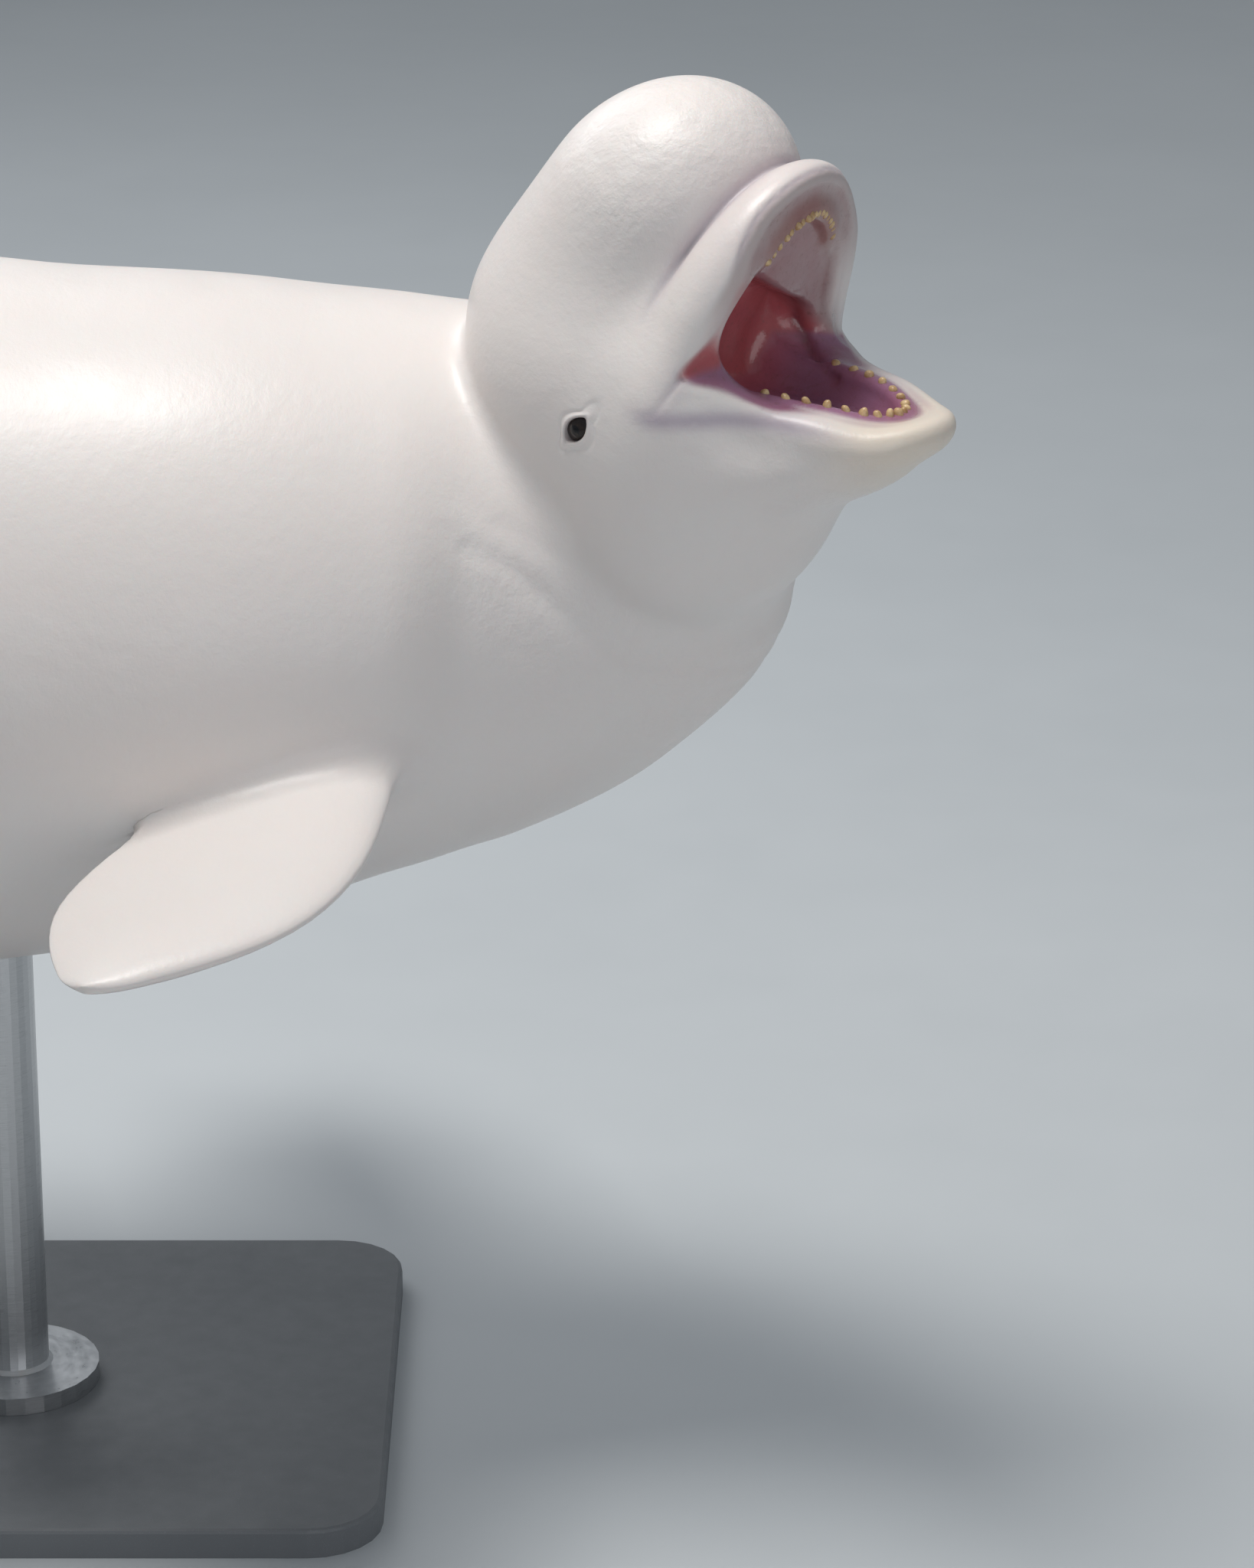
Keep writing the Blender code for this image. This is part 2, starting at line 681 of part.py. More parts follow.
# Tools shared by several nodes
void = mouth_opening()
upper_gum_tool = gum_with_teeth("upper_gum_tool", UPPER_GUM, UPPER_TEETH, upper_line, -1, HEAD_MATRIX, GAP)
lower_gum_tool = gum_with_teeth("lower_gum_tool", LOWER_GUM, LOWER_TEETH, lower_line, 1, JAW_MATRIX, GAP)
tongue_tool = tongue_solid("tongue_tool", GAP)

# Head and upper jaw
nape_normal = HEAD_TURN @ np.array([1.0, 0.0, -NAPE_CUT[1]]) / np.hypot(1.0, NAPE_CUT[1])
nape_point = from_head((NAPE_CUT[0], 0, 0))
head_node = wrapped_ball("head", whale, from_head((0.125, 0, 0.045)), HEAD_TURN, 46, 44, 0.42, 0.30, (-0.150, -0.07))
plane_cut(head_node, nape_point + nape_normal * GAP / 2, -nape_normal)
boolean(head_node, jaw_prism("jaw_room", GAP), "DIFFERENCE")
boolean(head_node, void, "DIFFERENCE", keep_tool=True)
boolean(head_node, upper_gum_tool, "DIFFERENCE")
boolean(head_node, tongue_tool, "DIFFERENCE", keep_tool=True)
boolean(head_node, lower_gum_tool, "DIFFERENCE", keep_tool=True)
for side in (-1, 1):
    boolean(head_node, eyeball("socket", side, GAP), "DIFFERENCE")
    boolean(head_node, lid_cutter("lids", side), "DIFFERENCE")
boolean(head_node, blowhole_cutter(), "DIFFERENCE")
keep_largest(head_node)

# Lower jaw
jaw_turn = HEAD_TURN @ JAW_TURN
jaw_node = wrapped_ball("lower_jaw", whale, from_head(from_jaw((0.115, 0, -0.030))), jaw_turn, 36, 26, 0.34, 0.35)
boolean(jaw_node, jaw_prism("jaw_region", 0), "INTERSECT")
boolean(jaw_node, void, "DIFFERENCE")
boolean(jaw_node, lower_gum_tool, "DIFFERENCE")
boolean(jaw_node, tongue_tool, "DIFFERENCE")
keep_largest(jaw_node)

upper_gum = gum_with_teeth("upper_gum", UPPER_GUM, UPPER_TEETH, upper_line, -1, HEAD_MATRIX, 0)
lower_gum = gum_with_teeth("lower_gum", LOWER_GUM, LOWER_TEETH, lower_line, 1, JAW_MATRIX, 0)
tongue = tongue_solid("tongue", 0)

# Neck
lean = np.array([cos(NECK_CUT_LEAN), 0, sin(NECK_CUT_LEAN)])
neck_point = AXIS_POINT + np.array([NECK_CUT_X, 0, 0])
neck_turn = turn_z(HEAD_YAW * 0.5) @ turn_y(-HEAD_PITCH * 0.5)
neck_node = wrapped_ball("neck", whale, (0.950, -0.005, AXIS_Z + 0.030), neck_turn, 38, 26, 0.50)
plane_cut(neck_node, nape_point - nape_normal * GAP / 2, nape_normal)
plane_cut(neck_node, neck_point + lean * GAP / 2, -lean)
keep_largest(neck_node)

# Trunk: torso and tail stock
stations = list(np.linspace(-2.19, -1.16, 12)) + [-1.10] + list(np.linspace(-1.0, 1.0, 17))
round_angles = np.linspace(0, 2 * pi, TRUNK_SIDES, endpoint=False)
trunk_rings = []
for x in stations:
    middle = float(smooth_line(np.array([x]), TRUNK[:, 0], (TRUNK[:, 1] + TRUNK[:, 2]) / 2)[0])
    start = np.array([x, 0, AXIS_Z + middle])
    rays = np.stack([np.zeros(TRUNK_SIDES), np.sin(round_angles), np.cos(round_angles)], 1)
    out = first_hit(body, start, rays, 0.6)
    trunk_rings.append(list(start + rays * out[:, None]))
torso = ring_loft("torso", trunk_rings)
tail_stock = copy_of(torso, "tail_stock")
plane_cut(torso, neck_point - lean * GAP / 2, lean)
plane_cut(torso, (TAIL_CUT_X + GAP / 2, 0, AXIS_Z), (-1, 0, 0))
plane_cut(tail_stock, (TAIL_CUT_X - GAP / 2, 0, AXIS_Z), (1, 0, 0))

# Flippers: the torso keeps a stub of each
flippers = []
for side, name in ((-1, "flipper_R"), (1, "flipper_L")):
    root, along, fore, flat = flipper_frame(side)
    fin = flipper(name, side)
    stub = copy_of(fin, name + "_stub")
    skin = root + along * first_hit(body, root, along[None], 0.3)[0]
    out = gradient(body, skin)
    out = out / np.linalg.norm(out)
    plane_cut(fin, skin + out * (FLIPPER_CUT + GAP / 2), -out)
    plane_cut(stub, skin + out * (FLIPPER_CUT - GAP / 2), out)
    boolean(torso, stub, "UNION")
    flippers.append(fin)

# Flukes: the tail stock keeps the middle
fluke_R = fluke_pair()
fluke_R.name = "fluke_R"
fluke_L = copy_of(fluke_R, "fluke_L")
middle = copy_of(fluke_R, "fluke_middle")
plane_cut(fluke_R, (0, -FLUKE_CUT_Y - GAP / 2, 0), (0, 1, 0))
plane_cut(fluke_L, (0, FLUKE_CUT_Y + GAP / 2, 0), (0, -1, 0))
plane_cut(middle, (0, -FLUKE_CUT_Y + GAP / 2, 0), (0, -1, 0))
plane_cut(middle, (0, FLUKE_CUT_Y - GAP / 2, 0), (0, 1, 0))
boolean(tail_stock, middle, "UNION")
keep_largest(tail_stock)

# Eyes
eye_R = eyeball("eye_R", -1, 0)
eye_L = eyeball("eye_L", 1, 0)

# Stand
def plate_ring(inset, z):
    """Outline of the base, a rectangle with round corners."""
    half_x, half_y = BASE[0] / 2 - BASE_CORNER, BASE[1] / 2 - BASE_CORNER
    r = BASE_CORNER - inset
    ring = []
    for k, (sx, sy) in enumerate(((1, 1), (-1, 1), (-1, -1), (1, -1))):
        for a in np.linspace(0, pi / 2, 7):
            ring.append((sx * half_x + r * cos(a + k * pi / 2), sy * half_y + r * sin(a + k * pi / 2), z))
    return ring


edge = 0.004
stand_base = ring_loft("stand_base", [plate_ring(0, 0), plate_ring(0, BASE[2] - edge),
                                      plate_ring(edge * 0.3, BASE[2] - edge * 0.3), plate_ring(edge, BASE[2])])


def rod_rings(x, top, grow, flange):
    low = BASE[2] + GAP
    levels = [(top, ROD_RADIUS + grow)]
    if flange:
        levels = [(low, FLANGE_RADIUS), (low + FLANGE_HEIGHT, FLANGE_RADIUS),
                  (low + FLANGE_HEIGHT + 0.002, ROD_RADIUS + 0.004), (low + FLANGE_HEIGHT + 0.006, ROD_RADIUS),
                  (top, ROD_RADIUS)]
    else:
        levels = [(low + 0.10, ROD_RADIUS + grow), (top + grow, ROD_RADIUS + grow)]
    return [[(x + r * cos(a), r * sin(a), z) for a in np.linspace(0, 2 * pi, 28, endpoint=False)] for z, r in levels]


rods = []
for name, x in (("stand_rod_front", ROD_X[0]), ("stand_rod_rear", ROD_X[1])):
    belly = AXIS_Z + float(smooth_line(np.array([x]), TRUNK[:, 0], TRUNK[:, 2])[0])
    top = belly + ROD_SUNK
    boolean(torso, ring_loft(name + "_hole", rod_rings(x, top, GAP, False)), "DIFFERENCE")
    rods.append(ring_loft(name, rod_rings(x, top, 0, True)))
keep_largest(torso)

# Materials
for thing in (head_node, jaw_node, neck_node, torso, tail_stock, fluke_R, fluke_L, *flippers):
    thing.data.materials.clear()
    thing.data.materials.append(SKIN)
for thing in (upper_gum, lower_gum):
    thing.data.materials.clear()
    thing.data.materials.append(LINING)
tongue.data.materials.append(TONGUE)
for thing in (eye_R, eye_L):
    thing.data.materials.append(EYE_BLACK)
stand_base.data.materials.append(BASE_PAINT)
for thing in rods:
    thing.data.materials.append(STEEL)
for thing in bpy.data.objects:
    for face in thing.data.polygons:
        face.use_smooth = False
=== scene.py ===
"""Looks of the white whale: one smooth skin over the frame, teeth, eyes, stand, floor, light and camera."""
import bpy
import bmesh
import numpy as np
from math import radians, sin, cos, pi
from mathutils import Vector, Matrix
from mathutils.bvhtree import BVHTree


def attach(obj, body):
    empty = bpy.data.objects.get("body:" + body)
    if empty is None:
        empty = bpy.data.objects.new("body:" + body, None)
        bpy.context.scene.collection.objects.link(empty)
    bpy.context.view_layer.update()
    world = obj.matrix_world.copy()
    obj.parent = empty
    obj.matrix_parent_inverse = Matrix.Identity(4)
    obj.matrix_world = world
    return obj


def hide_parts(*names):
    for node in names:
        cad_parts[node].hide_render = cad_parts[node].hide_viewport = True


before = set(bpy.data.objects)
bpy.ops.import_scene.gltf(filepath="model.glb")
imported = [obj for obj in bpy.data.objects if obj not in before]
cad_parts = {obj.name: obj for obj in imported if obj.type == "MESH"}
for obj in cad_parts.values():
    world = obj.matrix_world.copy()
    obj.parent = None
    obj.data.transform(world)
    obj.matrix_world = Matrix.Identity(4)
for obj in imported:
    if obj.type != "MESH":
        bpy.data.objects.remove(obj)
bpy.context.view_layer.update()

# Body: the same sizes as the frame's
AXIS_Z = 0.86
TAIL_END = -2.20
TRUNK_FRONT = 0.84
NAPE_BLEND = 0.022               # how softly head and body meet
# x, top, bottom, half width of the trunk, heights from its axis
TRUNK = np.array([
    [-2.20, -0.070, -0.115, 0.022],
    [-2.05, -0.050, -0.150, 0.034],
    [-1.85, -0.020, -0.200, 0.050],
    [-1.55, 0.040, -0.270, 0.085],
    [-1.10, 0.150, -0.345, 0.175],
    [-0.55, 0.275, -0.385, 0.295],
    [0.00, 0.335, -0.375, 0.350],
    [0.40, 0.325, -0.350, 0.345],
    [0.65, 0.290, -0.308, 0.300],
    [0.85, 0.235, -0.225, 0.240],
    [1.10, 0.140, -0.170, 0.150],
])
# Balls of the neck and the chest: x, y, height from the axis, radius
NECK = [
    (0.62, 0.0, 0.0, 0.290),
    (0.74, 0.020, 0.015, 0.268),
    (0.85, 0.035, 0.035, 0.235),
    (0.94, 0.025, 0.055, 0.200),
    (1.01, 0.0, 0.080, 0.170),
    (0.86, 0.010, -0.035, 0.205),
    (0.97, 0.0, -0.010, 0.170),
    (1.06, -0.010, 0.030, 0.130),
]

# Creases of the skin
FOLD_DEPTH = 0.0030
CORNER_DEPTH = 0.0030
CREASE_RISE = 0.006              # the right corner's crease is this much higher than the left one's
SHELF_DEPTH = 0.0014
GROOVE_DEPTH = 0.0035
# Place along the head, depth and phase of each fold of the neck
NECK_FOLDS = ((-0.045, 0.0022, 0.4), (-0.078, 0.0026, 1.7), (-0.112, 0.0022, 2.9))

# Pose of the head and of the lower jaw
HEAD_PITCH = radians(50.5)
HEAD_YAW = radians(-35.0)
GAPE = radians(38.8)
HEAD_AT = np.array([1.04, -0.05, AXIS_Z + 0.17])
JAW_AT = np.array([0.07, 0.0, -0.04])

# Ellipsoids of the head: centre x, z and the three radii, in the head's own frame
CRANIUM = (0.077, 0.036, 0.154, 0.167, 0.186)
MELON = (0.197, 0.113, 0.140, 0.128, 0.115)
UPPER_JAW = (0.171, 0.002, 0.153, 0.118, 0.046)
UPPER_JAW_TILT = radians(18)
THROAT = (0.025, -0.080, 0.147, 0.149, 0.120)
CHEEK = (0.100, -0.045, 0.085, 0.055, 0.070)
CHEEK_OUT = 0.085
LOWER_JAW = (0.089, -0.023, 0.150, 0.102, 0.056)
# Rings of the lips: centre x, half length, half width, thickness, lift from the line of the mouth
UPPER_LIP = (0.140, 0.184, 0.114, 0.025, 0.017)
LOWER_LIP = (0.094, 0.158, 0.078, 0.018, -0.015)
UPPER_LINE_X = [-0.10, 0.10, 0.155, 0.21, 0.26, 0.31, 0.345, 0.50]
UPPER_LINE_Z = [-0.085, -0.062, -0.047, -0.031, -0.015, 0.001, 0.011, 0.021]
LOWER_LINE_X = [-0.10, 0.0, 0.062, 0.12, 0.18, 0.23, 0.275, 0.40]
LOWER_LINE_Z = [0.105, 0.076, 0.053, 0.040, 0.0235, 0.004, 0.004, 0.004]
CORNER_RISE = (0.026, 0.000)     # how much the lower lip rises at the right and the left corner of the mouth
PALATE_SHELF = 0.010             # how far the roof of the mouth rises between lip and gum
PALATE_BULGE = 0.011             # and how far it comes down again in the middle
PALATE_END = (0.237, -0.50)      # its rear edge: x at the middle, change of x with y
THROAT_RISE = 0.040
FLOOR_DROP = 0.036
LIP_THINNING = 0.010             # how much higher the rim of the upper lip is cut at its tip

# Eyes and blowhole
EYE = (0.083, 0.1645, -0.001)
EYE_RADIUS = 0.019
EYE_SUNK = 0.0187
LID_OPENING = (0.0145, 0.0080)
BLOWHOLE_X = 0.030
BLOWHOLE_DEPTH = 0.009
CHEEK_FOLD = [(0.200, 0.054, -0.006), (0.175, 0.081, -0.022), (0.166, 0.082, -0.048), (0.175, 0.065, -0.069),
              (0.186, 0.049, -0.096)]
CORNER_FROM = (0.186, 0.135, -0.043)     # crease of the closed lips behind the mouth's corner
CORNER_TO = (0.150, 0.152, -0.050)

# Gums, teeth, tongue
UPPER_GUM = (0.130, 0.188, 0.093, 0.0085, 0.010, radians(38))
LOWER_GUM = (0.090, 0.136, 0.061, 0.0075, -0.007, radians(82))
UPPER_TEETH = (0.05, 0.93)       # where the rows start and end along a half of the gum
LOWER_TEETH = (0.05, 0.93)
TEETH_EACH_SIDE = 9
LEFT_WEAR = 0.70                 # height of the left teeth against the right ones
TOOTH_RADIUS = 0.0040
TOOTH_HEIGHT = 0.0080
TONGUE_X = 0.095
TONGUE_RADII = (0.100, 0.047, 0.013)
TONGUE_SUNK = 0.038              # its middle below the line of the lower lip

# Fins
FLIPPER_ROOT = (0.765, 0.195, -0.080)
FLIPPER_DIRECTION = (-0.30, 0.90, -0.20)
FLIPPER_LENGTH = 0.46
FLIPPER_CHORD = 0.190
FLUKE_HALF_SPAN = 0.44
FIN_FILLET = 0.035
FLUKES_FROM = -1.85              # x behind which the flukes are
FLIPPERS_FROM = 0.45             # x between which the flippers grow out
FLIPPERS_TO = 0.92

# Camera, taken from the photograph's framing of the head
CAMERA_AT = (1.0352, -5.0433, 2.6045)
CAMERA_DOWN = radians(21)
CAMERA_LENS = 128.584            # millimetres on a sensor 36 mm wide
FLOOR = 30                       # half the side of the floor


def turn_y(a):
    c, s = cos(a), sin(a)
    return np.array([[c, 0, s], [0, 1, 0], [-s, 0, c]])


def turn_z(a):
    c, s = cos(a), sin(a)
    return np.array([[c, -s, 0], [s, c, 0], [0, 0, 1]])


HEAD_TURN = turn_z(HEAD_YAW) @ turn_y(-HEAD_PITCH)
JAW_TURN = turn_y(GAPE)


def to_head(p):
    return (p - HEAD_AT) @ HEAD_TURN


def from_head(q):
    return np.asarray(q, float) @ HEAD_TURN.T + HEAD_AT


def to_jaw(q):
    return (q - JAW_AT) @ JAW_TURN


def from_jaw(j):
    return np.asarray(j, float) @ JAW_TURN.T + JAW_AT


def blend(a, b, k):
    """Smooth union of two distances."""
    h = np.clip(0.5 + 0.5 * (b - a) / k, 0, 1)
    return b * (1 - h) + a * h - k * h * (1 - h)


def carve(a, b, k):
    """Smooth intersection of two distances."""
    return -blend(-a, -b, k)


def step(low, high, x):
    """0 below low, 1 above high, smooth between."""
    t = np.clip((x - low) / (high - low), 0, 1)
    return t * t * (3 - 2 * t)


def bell(far, width):
    """1 at no distance, close to 0 at twice the width."""
    return np.exp(-(far / width) ** 2)


def ellipsoid(p, centre, radii):
    """Distance from an ellipsoid, exact only near it."""
    q = (p - np.array(centre)) / np.array(radii)
    k0 = np.sqrt((q * q).sum(-1))
    g = q / np.array(radii)
    k1 = np.sqrt((g * g).sum(-1))
    return k0 * (k0 - 1) / np.maximum(k1, 1e-6)


def lump(q, spec):
    return ellipsoid(q, (spec[0], 0, spec[1]), spec[2:])


def ring_distance(q, spec):
    """Distance from an ellipse that lies level."""
    x, y, z = q[..., 0] - spec[0], q[..., 1], q[..., 2]
    k0 = np.sqrt((x / spec[1]) ** 2 + (y / spec[2]) ** 2)
    k1 = np.sqrt((x / spec[1] ** 2) ** 2 + (y / spec[2] ** 2) ** 2)
    d = k0 * (k0 - 1) / np.maximum(k1, 1e-6)
    return np.sqrt(d * d + z * z)


def smooth_line(x, xs, ys):
    """Smooth curve through the given points."""
    xs, ys = np.asarray(xs, float), np.asarray(ys, float)
    m = np.gradient(ys, xs)
    i = np.clip(np.searchsorted(xs, x) - 1, 0, len(xs) - 2)
    h = xs[i + 1] - xs[i]
    t = np.clip((x - xs[i]) / h, 0, 1)
    a = (2 * t**3 - 3 * t**2 + 1) * ys[i] + (t**3 - 2 * t**2 + t) * h * m[i]
    return a + (3 * t**2 - 2 * t**3) * ys[i + 1] + (t**3 - t**2) * h * m[i + 1]


def upper_line(x):
    return smooth_line(x, UPPER_LINE_X, UPPER_LINE_Z)


def lower_line(x):
    return smooth_line(x, LOWER_LINE_X, LOWER_LINE_Z)


def corner_rise(x, y):
    """Extra height of the lower lip near the corners of the mouth."""
    high = np.where(y < 0, CORNER_RISE[0], CORNER_RISE[1])
    return high * step(0.155, 0.088, x) * step(0.050, 0.095, np.abs(y))


def shifted(q, dz):
    w = q.copy()
    w[..., 2] = q[..., 2] - dz
    return w


def upper_head(q):
    dome = blend(lump(q, CRANIUM), lump(q, MELON), 0.05)
    tilt = (q - np.array([UPPER_JAW[0], 0, UPPER_JAW[1]])) @ turn_y(-UPPER_JAW_TILT)
    jaw = ellipsoid(tilt, (0, 0, 0), UPPER_JAW[2:])
    lip = ring_distance(shifted(q, upper_line(q[..., 0]) + UPPER_LIP[4]), UPPER_LIP) - UPPER_LIP[3]
    face = blend(jaw, lip, 0.045)
    crease = 0.045 - 0.038 * np.clip((q[..., 0] - 0.15) / 0.10, 0, 1)
    return blend(dome, face, crease)


def melon_groove(q):
    """How far a place is from the crease between melon and upper lip."""
    dome = blend(lump(q, CRANIUM), lump(q, MELON), 0.05)
    tilt = (q - np.array([UPPER_JAW[0], 0, UPPER_JAW[1]])) @ turn_y(-UPPER_JAW_TILT)
    lip = ring_distance(shifted(q, upper_line(q[..., 0]) + UPPER_LIP[4]), UPPER_LIP) - UPPER_LIP[3]
    return dome - blend(ellipsoid(tilt, (0, 0, 0), UPPER_JAW[2:]), lip, 0.045)


def lower_head(q):
    j = to_jaw(q)
    lift = lower_line(j[..., 0]) + corner_rise(j[..., 0], j[..., 1]) + LOWER_LIP[4]
    lip = ring_distance(shifted(j, lift), LOWER_LIP) - LOWER_LIP[3]
    return blend(lump(j, LOWER_JAW), lip, 0.03)


def head_field(q):
    side = q.copy()
    side[..., 1] = np.abs(q[..., 1])
    cheek = ellipsoid(side, (CHEEK[0], CHEEK_OUT, CHEEK[1]), CHEEK[2:])
    d = blend(upper_head(q), blend(lump(q, THROAT), cheek, 0.04), 0.05)
    return blend(d, lower_head(q), 0.045)


def trunk(p):
    x = p[..., 0]
    top = smooth_line(x, TRUNK[:, 0], TRUNK[:, 1])
    low = smooth_line(x, TRUNK[:, 0], TRUNK[:, 2])
    wide = smooth_line(x, TRUNK[:, 0], TRUNK[:, 3])
    tall = (top - low) / 2
    y, z = p[..., 1], p[..., 2] - AXIS_Z - (top + low) / 2
    k0 = np.sqrt((y / wide) ** 2 + (z / tall) ** 2)
    k1 = np.sqrt((y / wide**2) ** 2 + (z / tall**2) ** 2)
    d = k0 * (k0 - 1) / np.maximum(k1, 1e-6)
    return carve(d, np.maximum(TAIL_END - x, x - TRUNK_FRONT), 0.04)


def body(p):
    d = trunk(p)
    chain = None
    for x, y, z, r in NECK:
        ball = np.sqrt(((p - np.array([x, y, z + AXIS_Z])) ** 2).sum(-1)) - r
        chain = ball if chain is None else blend(chain, ball, 0.05)
    return blend(d, chain, 0.06)


def ring_share(x, y, spec, shrink):
    """0 along the middle of the mouth, 1 from the ring of a lip outwards."""
    fore = np.maximum(x - spec[0], 0) / (spec[1] - shrink)
    return np.sqrt(fore**2 + (y / (spec[2] - shrink)) ** 2)


def behind_palate(x, y):
    """0 under the palate, 1 in the throat."""
    edge = PALATE_END[0] + PALATE_END[1] * y
    return step(0.006, -0.022, x - edge)


def palate_height(x, y):
    k = ring_share(x, y, UPPER_LIP, 0.004)
    rim = upper_line(x) + LIP_THINNING * step(0.27, 0.33, x)
    shelf = PALATE_SHELF * step(1.0, 0.86, k)
    bulge = PALATE_BULGE * np.maximum(1 - (k / 0.72) ** 2, 0)
    throat = THROAT_RISE * behind_palate(x, y) * step(0.95, 0.55, k) * step(0.02, 0.10, x)
    return rim + shelf - bulge + throat


def floor_height(x, y):
    rim = lower_line(x) + corner_rise(x, y)
    return rim - FLOOR_DROP * step(0.0, 0.45, 1 - ring_share(x, y, LOWER_LIP, 0.016))


def opening_sides(q):
    """Distances below the roof and above the floor of the open mouth."""
    j = to_jaw(q)
    return q[..., 2] - palate_height(q[..., 0], q[..., 1]), floor_height(j[..., 0], j[..., 1]) - j[..., 2]


def opening(q):
    """Negative in the open mouth, with a soft throat and sharp corners."""
    palate, floor = opening_sides(q)
    return carve(palate, floor, 0.024 + 0.046 * step(0.135, 0.085, np.abs(q[..., 1])))


def gum(q, spec, line):
    """Low ridge that carries a row of teeth."""
    d = ring_distance(shifted(q, line(q[..., 0]) + spec[4]), spec)
    round_angle = np.abs(np.arctan2(q[..., 1] / spec[2], (q[..., 0] - spec[0]) / spec[1]))
    return d - spec[3] + 0.02 * step(spec[5] - 0.12, spec[5] + 0.35, round_angle)


def tongue(q):
    """Flat ellipsoid, narrower to the front, on the floor of the mouth."""
    j = to_jaw(q)
    x = j[..., 0] - TONGUE_X
    high = j[..., 2] - lower_line(j[..., 0]) + TONGUE_SUNK
    half_width = TONGUE_RADII[1] * (1 - 1.2 * x)
    w = np.stack([x / TONGUE_RADII[0], j[..., 1] / half_width, high / TONGUE_RADII[2]], -1)
    k0 = np.sqrt((w * w).sum(-1))
    return (k0 - 1) * TONGUE_RADII[2] / np.maximum(1, 0.35 * k0)


def hull(p):
    """The whale with its mouth filled."""
    return blend(head_field(to_head(p)), body(p), NAPE_BLEND)


def flesh(p):
    """The whale with its mouth open, with gums and tongue."""
    q = to_head(p)
    d = blend(head_field(q), body(p), NAPE_BLEND)
    near = (np.abs(q[..., 1]) < 0.22) & (np.abs(q[..., 2] + 0.05) < 0.30)
    near &= (q[..., 0] > -0.10) & (q[..., 0] < 0.45)
    w = q[near]
    e = carve(d[near], -opening(w), 0.010)
    e = blend(e, gum(w, UPPER_GUM, upper_line), 0.014)
    e = blend(e, gum(to_jaw(w), LOWER_GUM, lower_line), 0.009)
    e = blend(e, tongue(w), 0.012)
    d[near] = e
    return d


# Meshing of a field
def chunks(field, p):
    """The field at many points, in portions to spare memory."""
    return np.concatenate([field(c) for c in np.array_split(p, len(p) // 100000 + 1)])


def sample(field, xs, ys, zs, stride=4, reach=1.2):
    """Values on a grid, exact only near the surface."""
    axes = (xs, ys, zs)
    picks = [np.unique(np.r_[np.arange(0, len(a), stride), len(a) - 1]) for a in axes]
    coarse_points = np.stack(np.meshgrid(*[a[i] for a, i in zip(axes, picks)], indexing="ij"), -1)
    shape = coarse_points.shape[:3]
    coarse = field(coarse_points.reshape(-1, 3)).reshape(shape)
    near = np.zeros([len(i) - 1 for i in picks], bool)
    cell = np.sqrt(sum(np.diff(a[i]).max() ** 2 for a, i in zip(axes, picks)))
    for a in (0, 1):
        for b in (0, 1):
            for c in (0, 1):
                corner = coarse[a:shape[0] - 1 + a, b:shape[1] - 1 + b, c:shape[2] - 1 + c]
                near |= np.abs(corner) < reach * cell
    owner = [np.clip(np.searchsorted(i, np.arange(len(a)), side="right") - 1, 0, len(i) - 2)
             for i, a in zip(picks, axes)]
    values = np.where(coarse[:-1, :-1, :-1] < 0, -1.0, 1.0)[np.ix_(*owner)]
    at = np.argwhere(near[np.ix_(*owner)])
    points = np.stack([xs[at[:, 0]], ys[at[:, 1]], zs[at[:, 2]]], 1)
    values[tuple(at.T)] = chunks(field, points)
    return values


def surface_net(values, xs, ys, zs):
    """One vertex in each cell that the surface crosses, one quad on each edge it crosses."""
    inside = values < 0
    n = [s - 1 for s in values.shape]
    count = np.zeros(n, np.int8)
    for a in (0, 1):
        for b in (0, 1):
            for c in (0, 1):
                count += inside[a:n[0] + a, b:n[1] + b, c:n[2] + c]
    active = (count > 0) & (count < 8)
    cells = np.argwhere(active)
    index = np.full(n, -1, np.int64)
    index[active] = np.arange(len(cells))
    i, j, k = cells.T
    corners = {}
    for a in (0, 1):
        for b in (0, 1):
            for c in (0, 1):
                place = np.stack([xs[i + a], ys[j + b], zs[k + c]], 1)
                corners[a, b, c] = (values[i + a, j + b, k + c], place)
    total = np.zeros((len(cells), 3))
    hits = np.zeros(len(cells))
    for axis in range(3):
        for b in (0, 1):
            for c in (0, 1):
                low, high = [b, c], [b, c]
                low.insert(axis, 0)
                high.insert(axis, 1)
                (v0, p0), (v1, p1) = corners[tuple(low)], corners[tuple(high)]
                cross = (v0 < 0) != (v1 < 0)
                t = np.where(cross, v0 / np.where(cross, v0 - v1, 1), 0)
                total += np.where(cross[:, None], p0 + t[:, None] * (p1 - p0), 0)
                hits += cross
    faces = []
    for axis in range(3):
        u, v = [a for a in range(3) if a != axis]
        first, second = [slice(1, -1)] * 3, [slice(1, -1)] * 3
        first[axis], second[axis] = slice(0, -1), slice(1, None)
        s0, s1 = inside[tuple(first)], inside[tuple(second)]
        at = np.argwhere(s0 != s1)
        at[:, u] += 1
        at[:, v] += 1
        flip = s0[s0 != s1]
        if axis == 1:
            flip = ~flip
        quad = []
        for du, dv in ((-1, -1), (0, -1), (0, 0), (-1, 0)):
            e = at.copy()
            e[:, u] += du
            e[:, v] += dv
            quad.append(index[tuple(e.T)])
        quad = np.stack(quad, 1)
        quad[~flip] = quad[~flip][:, ::-1]
        faces.append(quad)
    quads = np.concatenate(faces)
    return total / hits[:, None], np.concatenate([quads[:, [0, 1, 2]], quads[:, [0, 2, 3]]])


def gradient(field, p, h=0.0008):
    g = np.empty_like(p)
    for a in range(3):
        e = np.zeros(3)
        e[a] = h
        g[:, a] = (chunks(field, p + e) - chunks(field, p - e)) / (2 * h)
    return g


